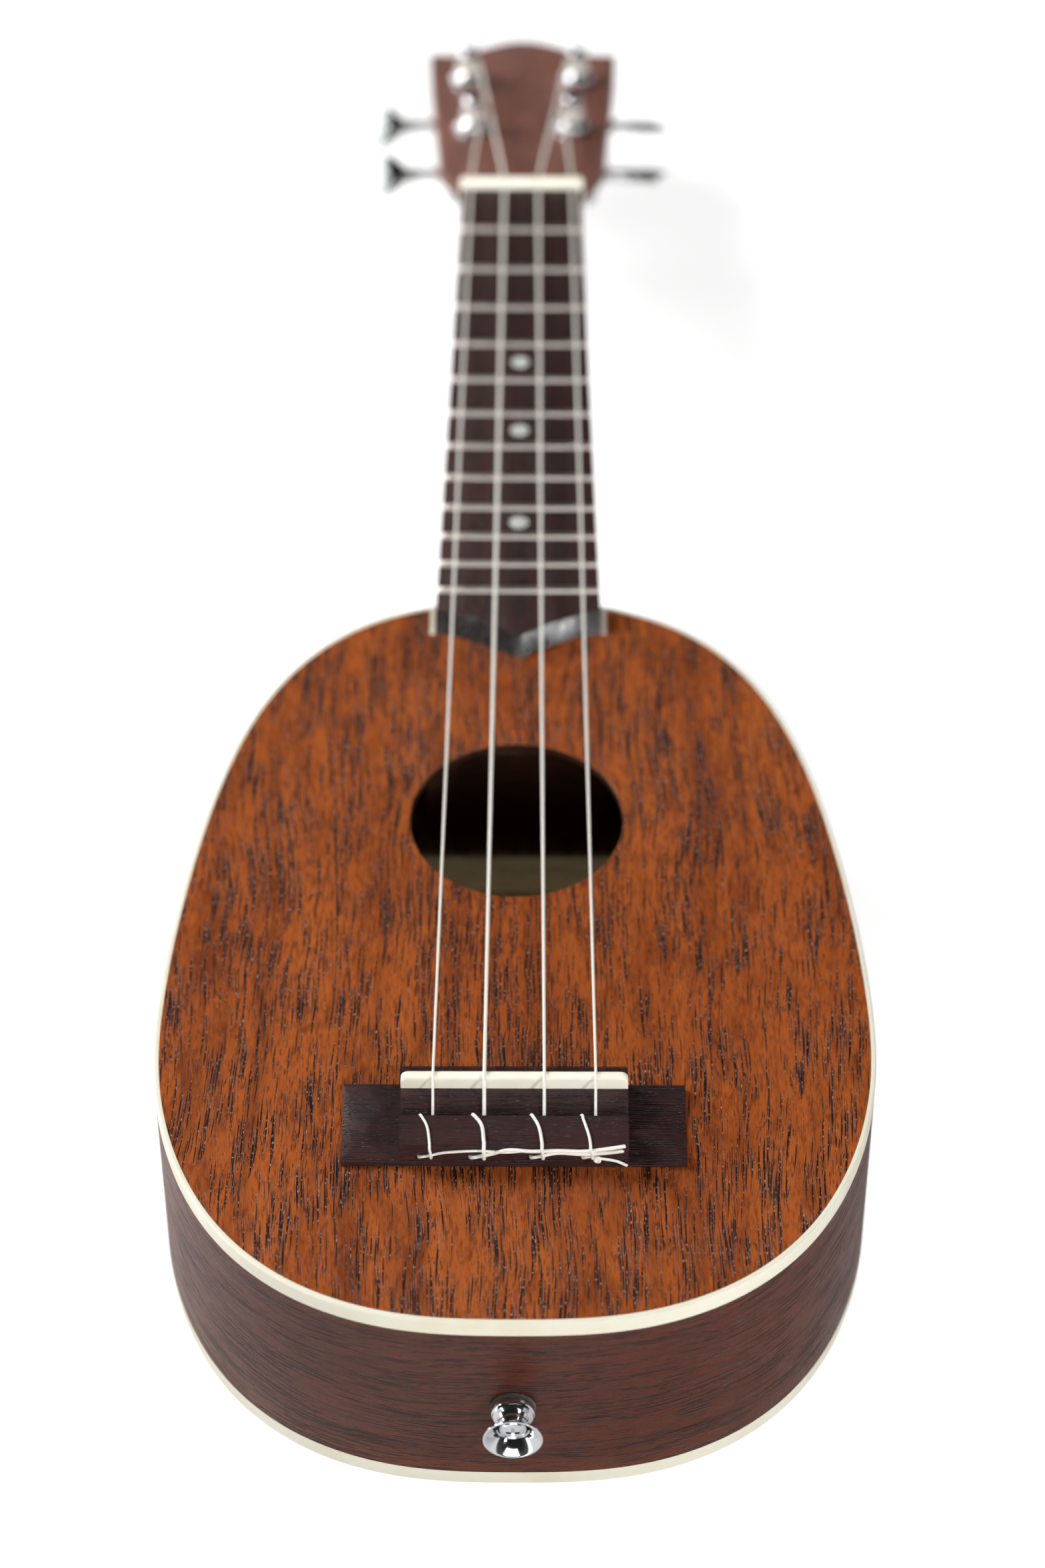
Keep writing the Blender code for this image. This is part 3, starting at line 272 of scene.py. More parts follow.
def nylon(name):
    s = Shader(name)
    place = s.coords()
    cloud = s.noise(place, scale=300.0, detail=2.0)
    tone = s.mix(cloud, (0.93, 0.91, 0.84), (0.84, 0.81, 0.73))
    s.surface(
        Base_Color=tone,
        Roughness=s.span(cloud, 0.3, 0.7, 0.24, 0.36),
        Normal=s.bump(s.noise(place, scale=4000.0), 0.06, 0.00002),
        # Painted light: a faint emission brightens the strings.
        Emission_Color=tone,
        Emission_Strength=0.16,
        Subsurface_Weight=0.25,
        Subsurface_Radius=(0.0006, 0.0005, 0.0004),
        Coat_Weight=0.3,
    )
    return s.material


def pearl(name):
    """Off-white inlay with soft drifting bands of colour."""
    s = Shader(name)
    place = s.coords()
    band = s.noise(s.stretched(place, 420.0, 900.0), detail=2.0, distortion=1.5)
    tone = s.mix(s.span(band, 0.35, 0.65), (0.86, 0.84, 0.78), (0.66, 0.72, 0.74))
    tone = s.mix(s.times(s.span(band, 0.55, 0.75), 0.5), tone, (0.85, 0.74, 0.70))
    s.surface(Base_Color=tone, Roughness=0.22, Coat_Weight=0.6, Normal=s.bump(band, 0.08, 0.00005))
    return s.material


def felt(name):
    s = Shader(name)
    place = s.coords()
    fluff = s.noise(place, scale=3500.0, detail=5.0, rough=0.75, distortion=1.0)
    tone = s.mix(s.span(fluff, 0.40, 0.75), (0.006, 0.010, 0.010), (0.05, 0.07, 0.06))
    s.surface(
        Base_Color=tone,
        Roughness=0.95,
        Sheen_Weight=0.6,
        Sheen_Roughness=0.5,
        Normal=s.bump(fluff, 0.9, 0.00025),
    )
    return s.material


TOP_WOOD = wood(
    "mahogany_top", (0.52, 0.128, 0.025), (0.375, 0.084, 0.016),
    (0.105, 0.021, 0.007), (0.012, 0.003, 0.002),
    gloss=0.36, painted_glint=0.75, sheen=0.28, pores=1.08,
)
BACK_WOOD = wood(
    "mahogany_back", (0.40, 0.115, 0.024), (0.30, 0.078, 0.017),
    (0.115, 0.027, 0.010), (0.022, 0.005, 0.002),
    offset=3.7, painted_glint=0.3,
)
EDGE_WOOD = wood(
    "mahogany_edge", (0.070, 0.024, 0.010), (0.050, 0.017, 0.008),
    (0.030, 0.010, 0.005), (0.010, 0.003, 0.002),
    gloss=0.6, sheen=0.2,
)
SIDE_WOOD = wood(
    "mahogany_side", (0.150, 0.036, 0.016), (0.100, 0.023, 0.011),
    (0.050, 0.012, 0.006), (0.010, 0.003, 0.002),
    along="X", from_uv=True, gloss=0.30, mottle=0.5, sheen=0.30, pores=0.9,
)
# Partly painted reflection: besides the mahogany's own colour, a grey-purple haze like the headstock face's
# gloss is mixed into these colours.
NECK_WOOD_PAINTED_SHEEN = wood(
    "mahogany_neck", (0.360, 0.135, 0.088), (0.270, 0.098, 0.066),
    (0.155, 0.054, 0.040), (0.030, 0.010, 0.008),
    pores=0.8, gloss=0.40, mottle=0.5, offset=1.3,
)
BOARD_WOOD = wood(
    "rosewood_board", (0.066, 0.024, 0.019), (0.038, 0.014, 0.013),
    (0.015, 0.007, 0.007), (0.004, 0.002, 0.002),
    pores=0.8, gloss=0.50, mottle=0.5, offset=5.1, sheen=0.4,
)
# Painted shade: a darker copy of the board's rosewood for the end's bevel, dark for its shaded half; its
# strong sheen catches the lamp on the other half.
BEVEL_WOOD_PAINTED_SHADE = wood(
    "rosewood_bevel_painted_shade", (0.016, 0.010, 0.010), (0.010, 0.006, 0.006),
    (0.006, 0.004, 0.004), (0.003, 0.002, 0.002),
    pores=0.6, gloss=0.22, mottle=0.5, offset=5.1, sheen=0.9,
)
BRIDGE_WOOD = wood(
    "rosewood_bridge", (0.060, 0.023, 0.021), (0.036, 0.014, 0.015),
    (0.016, 0.007, 0.008), (0.005, 0.002, 0.003),
    along="X", pores=0.8, gloss=0.44, mottle=0.6, offset=7.7, sheen=0.4, painted_glint=0.15,
)
# INNER_WOOD and INSIDE_WOOD carry the painted glow: emission near the sound hole on the back's braces,
# lining and inside face.
INNER_WOOD = wood(
    "inner_wood", (0.62, 0.48, 0.28), (0.52, 0.40, 0.22),
    (0.36, 0.27, 0.14), (0.20, 0.14, 0.07),
    along="X", pores=0.4, gloss=0.7, mottle=0.5, glow=0.09,
)
INSIDE_WOOD = wood(
    "back_inside", (0.34, 0.24, 0.11), (0.27, 0.19, 0.085),
    (0.17, 0.11, 0.05), (0.06, 0.035, 0.02),
    gloss=0.7, mottle=0.5, offset=3.7, sheen=0.2, glow=0.12,
)
BLOCK_WOOD = wood(
    "mahogany_block", (0.090, 0.034, 0.018), (0.065, 0.022, 0.012),
    (0.040, 0.013, 0.008), (0.012, 0.004, 0.002),
    along="X", pores=0.6, gloss=0.7, mottle=0.5, sheen=0.2,
)
BINDING = plastic("cream_binding", (0.95, 0.91, 0.76), (0.88, 0.82, 0.63), 0.34)
# Painted light: both bones glow, the nut most, to look brighter than the lamps make them.
BONE = plastic("bone", (0.97, 0.93, 0.80), (0.90, 0.84, 0.68), 0.42, grain=900.0, glow=0.16)
NUT_BONE_PAINTED_GLOW = plastic("bone_nut_painted_glow", (0.98, 0.95, 0.82), (0.92, 0.86, 0.70), 0.42, grain=900.0, glow=0.52)
PEARL = pearl("pearl")
NYLON = nylon("nylon")
FELT = felt("felt")
FRET_METAL = metal("fret_metal", (0.84, 0.76, 0.70), (0.72, 0.64, 0.58), 0.36, marks=0.4)
CHROME = metal("chrome", (0.80, 0.81, 0.83), (0.68, 0.69, 0.72), 0.05)
# Painted shade: the buttons take a darker, greyer copy of the chrome, so they look grey where they would
# mirror the white floor.
BUTTON_CHROME_PAINTED_SHADE = metal("chrome_button_painted_shade", (0.36, 0.385, 0.375), (0.28, 0.30, 0.29), 0.16)
STEEL = metal("chrome_screw", (0.74, 0.74, 0.76), (0.58, 0.57, 0.56), 0.14, marks=2.0)
BRASS = metal("brass", (0.72, 0.52, 0.24), (0.52, 0.36, 0.16), 0.24, marks=2.0)


# ---------------------------------------------------------------- mesh helpers

def link(name, data):
    made = bpy.data.objects.new(name, data)
    bpy.context.scene.collection.objects.link(made)
    return made


def mesh_of(bm, name):
    """A mesh from bm, which is used up."""
    mesh = bpy.data.meshes.new(name)
    bm.to_mesh(mesh)
    bm.free()
    return mesh


def smoothed(mesh, angle):
    """Smooth shading, except across edges sharper than angle degrees."""
    mesh.shade_smooth()
    mesh.set_sharp_from_angle(angle=math.radians(angle))


def piece(bm, name, material, body=BODY, replaces=None, slot=None, smooth=40.0, matrix=None):
    """A shown object from bm that rides on a body of the frame."""
    bmesh.ops.recalc_face_normals(bm, faces=bm.faces)
    mesh = mesh_of(bm, name)
    mesh.materials.append(material)
    smoothed(mesh, smooth)
    made = link(name, mesh)
    if matrix is not None:
        mesh.transform(matrix)
        if matrix.determinant() < 0:
            mesh.flip_normals()
    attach(made, body)
    if replaces:
        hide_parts(replaces)
    return made


def shown(bm, node, material, **settings):
    """The piece that stands for a CAD node."""
    return piece(bm, node + "_shown", material, replaces=node, **settings)


def skin(bm, rings, loop=False, cap_end=True):
    """Faces between rings of equal length, closed at both ends or joined in a loop."""
    loops = [[bm.verts.new(point) for point in ring] for ring in rings]
    count = len(loops[0])
    pairs = list(zip(loops, loops[1:]))
    if loop:
        pairs.append((loops[-1], loops[0]))
    for first, second in pairs:
        for i in range(count):
            j = (i + 1) % count
            bm.faces.new((first[i], first[j], second[j], second[i]))
    if not loop:
        bm.faces.new(loops[0])
    if cap_end and not loop:
        bm.faces.new(loops[-1])
    return loops


def spline(points, steps):
    """A smooth path through points, or a smooth run of rings, with steps for each span."""
    knots = np.array(points, float)
    flat = knots.reshape(len(knots), -1)
    gaps = np.linalg.norm(np.diff(flat, axis=0), axis=1)
    gaps = np.maximum(gaps, 1e-7)
    slopes = np.zeros_like(flat)
    chords = np.diff(flat, axis=0) / gaps[:, None]
    slopes[0], slopes[-1] = chords[0], chords[-1]
    before, after = gaps[:-1, None], gaps[1:, None]
    slopes[1:-1] = (chords[:-1] * after + chords[1:] * before) / (before + after)
    made = []
    for i, gap in enumerate(gaps):
        for t in np.arange(steps) / steps:
            made.append(
                (2 * t**3 - 3 * t**2 + 1) * flat[i]
                + (t**3 - 2 * t**2 + t) * gap * slopes[i]
                + (3 * t**2 - 2 * t**3) * flat[i + 1]
                + (t**3 - t**2) * gap * slopes[i + 1]
            )
    made.append(flat[-1])
    return np.array(made).reshape(-1, *knots.shape[1:])


def circle(radius, count, z):
    return [
        (radius * math.cos(2 * math.pi * i / count), radius * math.sin(2 * math.pi * i / count), z)
        for i in range(count)
    ]


def turned(bm, profile, count=64, closed=False):
    """A turned shape about z from (radius, z) points, closed as a ring or at its ends."""
    skin(bm, [circle(radius, count, z) for radius, z in profile], loop=closed)


def tube(bm, path, radius, sides=12):
    """A round bar along a path, with domed ends."""
    path = [Vector(p) for p in path]
    spokes = None
    rings = []
    for i, point in enumerate(path):
        ahead = (path[min(i + 1, len(path) - 1)] - path[max(i - 1, 0)]).normalized()
        if spokes is None:
            spokes = ahead.orthogonal().normalized()
        spokes = (spokes - ahead * spokes.dot(ahead)).normalized()
        side = ahead.cross(spokes)
        rings.append((point, ahead, spokes.copy(), side))

    def ring(point, spoke, side, size):
        angles = [2 * math.pi * k / sides for k in range(sides)]
        return [point + (spoke * math.cos(a) + side * math.sin(a)) * size for a in angles]

    made = [ring(point, spoke, side, radius) for point, _, spoke, side in rings]
    for (point, ahead, spoke, side), way, at in ((rings[0], -1, 0), (rings[-1], 1, len(made) + 1)):
        made.insert(at, ring(point + ahead * way * radius * 0.45, spoke, side, radius * 0.55))
    skin(bm, made)


def modify(obj, kind, **settings):
    modifier = obj.modifiers.new(kind.lower(), kind)
    for key, value in settings.items():
        setattr(modifier, key, value)
    return modifier


def settle(obj):
    """Replace obj's mesh by its evaluated one, so that no modifier is left."""
    evaluated = obj.evaluated_get(bpy.context.evaluated_depsgraph_get())
    mesh = bpy.data.meshes.new_from_object(evaluated)
    obj.modifiers.clear()
    obj.data = mesh


def soften(obj, width, angle, sharp):
    """Rounded edges."""
    edges = {"limit_method": "ANGLE", "angle_limit": math.radians(angle)}
    modify(obj, "BEVEL", width=width, segments=2, harden_normals=False, **edges)
    settle(obj)
    smoothed(obj.data, sharp)


def remade(node, material, width, slot=None, angle=35.0, sharp=50.0):
    """The shape of a CAD node as a welded mesh with rounded edges."""
    bm = bmesh.new()
    bm.from_mesh(NODES[node].data)
    bmesh.ops.remove_doubles(bm, verts=bm.verts, dist=1e-6)
    bmesh.ops.dissolve_limit(bm, angle_limit=math.radians(0.5), verts=bm.verts, edges=bm.edges)
    soften(shown(bm, node, material, slot=slot), width, angle, sharp)


def cut(obj, bm):
    """Take the closed shape bm away from obj."""
    bmesh.ops.recalc_face_normals(bm, faces=bm.faces)
    tool = link("cut", mesh_of(bm, "cut"))
    modify(obj, "BOOLEAN", object=tool, operation="DIFFERENCE", solver="EXACT")
    bpy.context.view_layer.update()
    settle(obj)
    bpy.data.objects.remove(tool)


# ---------------------------------------------------------------- body

OUTLINE_STEPS = 6


def plate_outline():
    """The back plate's edge, resampled finely by a periodic cubic through its corners."""
    points = corners("back_plate")
    points = np.unique(np.round(points[points[:, 2] < BACK + 0.0001][:, :2], 7), axis=0)
    centre = points.mean(axis=0)
    # The first point is at the neck, where a bent side has its joint.
    angles = np.arctan2(points[:, 1] - centre[1], points[:, 0] - centre[0])
    points = points[np.argsort((angles - math.pi / 2) % (2 * math.pi))]
    count = len(points)
    waves = np.fft.fft(points, axis=0)
    weight = (4 + 2 * np.cos(2 * math.pi * np.arange(count) / count)) / 6
    control = np.fft.ifft(waves / weight[:, None], axis=0).real
    made = []
    for i in range(count):
        a, b, c, d = (control[(i + k) % count] for k in (-1, 0, 1, 2))
        for t in np.arange(OUTLINE_STEPS) / OUTLINE_STEPS:
            made.append((
                (1 - t) ** 3 * a
                + (3 * t**3 - 6 * t**2 + 4) * b
                + (-3 * t**3 + 3 * t**2 + 3 * t + 1) * c
                + t**3 * d
            ) / 6)
    return np.array(made)


def outward(edge):
    """The edge's normals, from each point's two neighbours."""
    ahead = np.roll(edge, -1, axis=0) - np.roll(edge, 1, axis=0)
    ahead /= np.linalg.norm(ahead, axis=1)[:, None]
    return np.stack([ahead[:, 1], -ahead[:, 0]], axis=1)


def arc_lengths(edge):
    steps = np.diff(np.vstack([edge, edge[:1]]), axis=0)
    return np.concatenate([[0.0], np.cumsum(np.linalg.norm(steps, axis=1))])


EDGE = plate_outline()
OUTWARD = outward(EDGE)
ARC = arc_lengths(EDGE)


def outline(inset):
    return EDGE - OUTWARD * inset


def make_hoop(name, section, material, slot):
    """A band round the body, from (inset, z) points, with the grain's coordinates along it."""
    bm = bmesh.new()
    loops = [outline(inset) for inset, _ in section]
    count, size = len(EDGE), len(section)
    rings = [[(*loops[k][i], z) for k, (_, z) in enumerate(section)] for i in range(count)]
    skin(bm, rings, loop=True)
    bm.verts.index_update()
    layer = bm.loops.layers.uv.new("grain")
    for index, face in enumerate(bm.faces):
        last = index // size == count - 1
        for corner in face.loops:
            ring, row = divmod(corner.vert.index, size)
            arc = ARC[count] if (last and ring == 0) else ARC[ring]
            corner[layer].uv = (arc, section[row][1])
    return shown(bm, name, material, slot=slot)


def make_sides():
    gap = 0.00002
    inner = SIDE_THICK - BINDING_WIDE
    low_z, high_z = BACK + BINDING_TALL + gap, TOP - BINDING_TALL - gap
    section = [
        (-BINDING_WIDE, low_z),
        (-BINDING_WIDE, high_z),
        (0.0, high_z),
        (0.0, TOP - PLATE - gap),
        (inner, TOP - PLATE - gap),
        (inner, BACK + PLATE + gap),
        (0.0, BACK + PLATE + gap),
        (0.0, low_z),
    ]
    make_hoop("side_rim", section, SIDE_WOOD, "mahogany_side")


def make_bindings():
    """Cream hoops with a scraped round on the outer corner."""
    round_off = 0.0005
    for name, face, turn in (("top_binding", TOP, 1), ("back_binding", BACK, -1)):
        foot = face - turn * BINDING_TALL
        section = [(-BINDING_WIDE, foot)]
        for i in range(6):
            angle = math.pi / 2 * i / 5
            section.append((
                -BINDING_WIDE + round_off * (1 - math.cos(angle)),
                face - turn * round_off * (1 - math.sin(angle)),
            ))
        section += [(-0.00002, face), (-0.00002, foot)]
        make_hoop(name, section, BINDING, "cream_binding")


def make_soundboard():
    """The top, with its sound hole's edge eased by hand sanding."""
    low_z = low("soundboard").z
    centre_y, radius = hole_circle(corners("soundboard"))
    edge = outline(0.0)
    angles = np.arctan2(edge[:, 1] - centre_y, edge[:, 0])
    ease = 0.0005
    section = [(0.0, low_z)]
    for i in range(5):
        angle = math.pi / 2 * i / 4
        section.append((ease * (1 - math.cos(angle)), TOP - ease * (1 - math.sin(angle))))
    rings = []
    for i, angle in enumerate(angles):
        direction = np.array([math.cos(angle), math.sin(angle)])
        ring = [(*edge[i], low_z), (*edge[i], TOP)]
        for grow, z in reversed(section):
            spot = np.array([0.0, centre_y]) + direction * (radius + grow)
            ring.append((*spot, z))
        rings.append(ring)
    bm = bmesh.new()
    skin(bm, rings, loop=True)
    board = shown(bm, "soundboard", TOP_WOOD, slot="mahogany_top", smooth=30.0)
    board.data.materials.append(EDGE_WOOD)
    for face in board.data.polygons:
        from_middle = math.hypot(face.center.x, face.center.y - centre_y)
        if from_middle < radius + ease and face.center.z < TOP - ease * 0.4:
            face.material_index = 1


def hole_circle(points):
    """The sound hole's centre and radius, from the vertices nearest the body's upper middle."""
    near = points[np.hypot(points[:, 0], points[:, 1] - 0.094) < 0.032]
    return (near[:, 1].max() + near[:, 1].min()) / 2, (near[:, 1].max() - near[:, 1].min()) / 2


def make_back():
    bm = bmesh.new()
    ease = 0.0002
    rings = []
    for inset, z in ((ease, BACK), (0.0, BACK + ease), (0.0, BACK + PLATE)):
        rings.append([(*p, z) for p in outline(inset)])
    skin(bm, rings)
    plate = shown(bm, "back_plate", BACK_WOOD, slot="mahogany_top", smooth=30.0)
    plate.data.materials.append(INSIDE_WOOD)
    for face in plate.data.polygons:
        if face.normal.z > 0.9:
            face.material_index = 1


def make_returns():
    """The binding's short strips beside the fingerboard, let into the top."""
    half = high("fingerboard").x
    wide, y_low, y_high = 0.0017, 0.1609, 0.1706
    lift = 0.00006
    for side, name in ((-1, "left"), (1, "right")):
        bm = bmesh.new()
        a, b = half + 0.0001, half + wide
        ease = 0.00025
        rings = []
        for z, inset in ((TOP - 0.001, 0.0), (TOP + lift - ease, 0.0), (TOP + lift, ease)):
            rings.append([
                (side * (a + inset), y_low + inset, z),
                (side * (b - inset), y_low + inset, z),
                (side * (b - inset), y_high, z),
                (side * (a + inset), y_high, z),
            ])
        skin(bm, rings)
        piece(bm, f"binding_return_{name}", BINDING, slot="cream_binding")


def dress_inside():
    for name in ("neck_block", "tail_block", "upper_top_brace", "lower_top_brace", "top_lining"):
        dress(name, BLOCK_WOOD)
    for name in ("back_lining", "upper_back_brace", "lower_back_brace"):
        dress(name, INNER_WOOD)


def dress(node, material):
    """A new material for a CAD node that stays."""
    slots = NODES[node].data.materials
    slots.clear()
    slots.append(material)


# ---------------------------------------------------------------- neck and fingerboard

RING_HALF = 33            # points across each half of a section
BOARD_END = 0.1613        # where the fingerboard's end starts at its long edges
BOARD_WIDEST = 0.1648
NUT_HALF = 0.01716
HEAD_THICK = 0.0120
HEAD_SHOULDER = 0.0165
HEAD_HALF_LOW = 0.0235
HEAD_HALF_TOP = 0.0289
HEAD_LONG = 0.0995
HEAD_HUMP = 0.0108


def board_half(y):
    """Half the fingerboard's width at y."""
    return NUT_HALF + (NUT_Y - y) * (high("fingerboard").x - NUT_HALF) / (NUT_Y - BOARD_WIDEST)


def round_back(square, taper=0.0):
    """The underside of a section, as shares of its half width and of its depth."""
    points = []
    for i, u in enumerate(np.linspace(1, -1, RING_HALF)):
        angle = math.pi * (i + 0.5) / RING_HALF
        drop = math.sin(angle) ** 0.85
        across = math.copysign(abs(math.cos(angle)) ** 0.90, math.cos(angle)) * (1 - taper * drop)
        points.append((across * (1 - square) + u * square, drop * (1 - square) + square))
    return points


def neck_ring(y, half, deep, square=0.0, taper=0.0):
    top = TOP - max(0.0, y - HEAD_Y) * math.tan(HEAD_TILT)
    ring = [(half * u, y, top) for u in np.linspace(-1, 1, RING_HALF)]
    return ring + [(half * across, y, top - deep * drop) for across, drop in round_back(square, taper)]


def head_point(x, along, out):
    y = HEAD_Y + along * math.cos(HEAD_TILT) + out * math.sin(HEAD_TILT)
    return (x, y, TOP - along * math.sin(HEAD_TILT) + out * math.cos(HEAD_TILT))


def head_half(along):
    share = (along - HEAD_SHOULDER) / (HEAD_LONG - HEAD_SHOULDER)
    return HEAD_HALF_LOW + (HEAD_HALF_TOP - HEAD_HALF_LOW) * share


def head_ring(along, half, square=1.0, hump=0.0):
    def reach(x):
        return along + hump * 0.5 * (1 + math.cos(math.pi * min(1.0, abs(x) / half / 0.82)))

    ring = [head_point(half * u, reach(half * u), 0.0) for u in np.linspace(-1, 1, RING_HALF)]
    for across, drop in round_back(square):
        ring.append(head_point(half * across, reach(half * across), -HEAD_THICK * drop))
    return ring


def make_neck():
    start = outline(-BINDING_WIDE)[:, 1].max()
    long, deep, heel = 0.024, 0.0155, 0.0520
    rings = []
    for share in (-0.30, 0.0, 0.06, 0.16, 0.30, 0.48, 0.70, 1.0):
        y = start + long * share
        swell = (1 - max(0.0, share)) ** 2.6
        rings.append(neck_ring(y, board_half(y), deep + 0.001 + (heel - deep) * swell, taper=0.42 * swell))
    for y in (0.24, 0.30, 0.338):
        rings.append(neck_ring(y, board_half(y), deep))
    for y, half, thick, square in (
        (0.3475, 0.0173, 0.0150, 0.00),
        (0.3520, 0.0178, 0.0146, 0.04),
        (0.3560, 0.0193, 0.0140, 0.10),
        (0.3600, 0.0214, 0.0132, 0.20),
    ):
        rings.append(neck_ring(y, half, thick, square))
    for along, square in ((0.0165, 0.38), (0.0215, 0.58), (0.0270, 0.82), (0.0330, 1.0)):
        rings.append(head_ring(along, head_half(along), square))
    rings = list(spline(rings, 5))
    rings.append(head_ring(0.085, head_half(0.085)))
    rings.append(head_ring(HEAD_LONG, HEAD_HALF_TOP, 1.0, HEAD_HUMP))
    bm = bmesh.new()
    loops = skin(bm, rings, cap_end=False)
    last = len(loops[-1]) - 1
    for i in range(RING_HALF - 1):
        bm.faces.new((loops[-1][i], loops[-1][i + 1], loops[-1][last - i - 1], loops[-1][last - i]))
    neck = shown(bm, "neck", NECK_WOOD_PAINTED_SHEEN, slot="mahogany_neck")
    bm = bmesh.new()
    skin(bm, [[(*p, z) for p in outline(-BINDING_WIDE - 0.00003)] for z in (BACK - 0.001, TOP + 0.001)])
    cut(neck, bm)
    bm = bmesh.new()
    for name in TUNERS:
        place = post_matrix(name)
        rings = [[place @ Vector(p) for p in circle(0.0041, 32, z)] for z in (-0.020, 0.006)]
        skin(bm, rings)
    cut(neck, bm)
    smoothed(neck.data, 35.0)
    ease_head_edges(neck)


def ease_head_edges(neck):
    """Round the headstock's rim a little, and leave the glued faces crisp."""
    bm = bmesh.new()
    bm.from_mesh(neck.data)
    weight = bm.edges.layers.float.new("bevel_weight_edge")
    for edge in bm.edges:
        middle = (edge.verts[0].co + edge.verts[1].co) / 2
        if middle.y > 0.358 and edge.is_manifold and edge.calc_face_angle() > math.radians(40):
            edge[weight] = 1.0
    bm.to_mesh(neck.data)
    bm.free()
    modify(neck, "BEVEL", width=0.0007, segments=3, limit_method="WEIGHT")
    settle(neck)
    smoothed(neck.data, 35.0)


def board_end(u, lift):
    soft = math.sqrt(u * u + 0.006) - 0.0775
    return BOARD_END + lift - 0.0090 * max(0.0, 1 - soft) ** 1.75


def make_fingerboard():
    """A tapered board with an ogee end, bevelled, and its long edges eased."""
    ease = 0.0004
    bevel = 0.0035
    rings = []
    for z, lift, inset in (
        (BOARD_LOW, 0.0, 0.0),
        (BOARD_TOP - ease, bevel * 0.92, 0.0),
        (BOARD_TOP - ease * 0.3, bevel, ease * 0.3),
        (BOARD_TOP, bevel + ease * 0.6, ease),
    ):
        nut_half = board_half(NUT_Y) - inset
        end_half = board_half(BOARD_END + lift) - inset
        ring = [(-nut_half, NUT_Y, z), (nut_half, NUT_Y, z)]
        for u in np.linspace(1, -1, 81):
            y = board_end(abs(u), lift) if abs(u) < 1 else BOARD_END + lift
            ring.append((end_half * u, y, z))
        rings.append(ring)
    bm = bmesh.new()
    skin(bm, rings)
    board = shown(bm, "fingerboard", BOARD_WOOD, slot="rosewood", smooth=28.0)
    # The bevel faces take the darker rosewood, which is painted shade.
    board.data.materials.append(BEVEL_WOOD_PAINTED_SHADE)
    for face in board.data.polygons:
        if face.center.y < 0.169 and 0.2 < face.normal.z < 0.95 and abs(face.normal.x) < 0.9:
            face.material_index = 1


def make_frets():
    wide, tall, tang, deep = 0.0020, 0.0010, 0.0005, 0.0014
    for number in range(1, FRETS + 1):
        y = SCALE * 2 ** (-number / 12)
        half = board_half(y) - 0.00005
        section = []
        for i in range(13):
            angle = math.pi * i / 12
            section.append((wide / 2 * math.cos(angle), tall * math.sin(angle) ** 0.85))
        section += [(-tang / 2, 0.0), (-tang / 2, -deep), (tang / 2, -deep), (tang / 2, 0.0)]
        rings = []
        for side, rows in ((-1, (0.0, 0.5, 1.0)), (1, (1.0, 0.5, 0.0))):
            for row in rows:
                ring = []
                for across, up in section:
                    lean = max(0.0, up) / tall
                    inset = 0.0006 * lean + 0.0002 * row * (1 - lean)
                    drop = 0.00018 * (1 - row) * lean
                    ring.append((side * (half - inset - 0.0003 * row), y + across, BOARD_TOP + up - drop))
                rings.append(ring)
        bm = bmesh.new()
        skin(bm, rings)
        shown(bm, f"fret_{number:02d}", FRET_METAL, slot="fret_metal", smooth=45.0)


def make_dots():
    """Pearl dots, polished a hair proud of the fingerboard."""
    for node in ("dot_fret_05", "dot_fret_07", "dot_fret_10"):
        middle = (low(node) + high(node)) / 2
        radius = (high(node).x - low(node).x) / 2
        bm = bmesh.new()
        profile = [(radius, -0.0010), (radius, 0.00002), (radius * 0.94, 0.00006), (radius * 0.3, 0.00010)]
        turned(bm, profile, count=48)
        place = Matrix.Translation((middle.x, middle.y, BOARD_TOP))
        shown(bm, node, PEARL, slot="pearl", matrix=place)


# ---------------------------------------------------------------- strings

STRING_RADII = {"g": 0.00033, "c": 0.00045, "e": 0.00040, "a": 0.00035}
HOLE_STEP = -0.0031      # from a string to the hole of its loop
COIL_TOP = 0.0070        # height on the post where the string arrives


def string_ends(name):
    """The string's x at the saddle and at the nut, from the CAD string's own vertices."""
    points = corners(f"string_{name}")
    at_nut = points[(points[:, 1] > NUT_Y - 0.002) & (points[:, 1] < NUT_Y + 0.002)]
    at_saddle = points[(points[:, 1] > -0.003) & (points[:, 1] < 0.003)]
    return at_saddle[:, 0].mean(), at_nut[:, 0].mean()


# How each loop lies on the tie block, as steps in x from its string: where it comes up at
# the front edge, a little behind that, at the rear edge, and where it goes into its hole.
LOOP_STEPS = {
    "g": (-0.0029, -0.0016, -0.0006, -0.0003),
    "c": (-0.0026, -0.0009, 0.0000, 0.0001),
    "e": (-0.0030, -0.0017, -0.0006, -0.0003),
    "a": (-0.0033, -0.0026, -0.0014, -0.0009),
}
# Each cut tail behind the block: its end in x, its height there, and its height midway.
TAILS = {"g": (0.0251, 0.0061, 0.0059), "c": (0.0254, 0.0085, 0.0065), "e": (0.0248, 0.0073, 0.0056)}


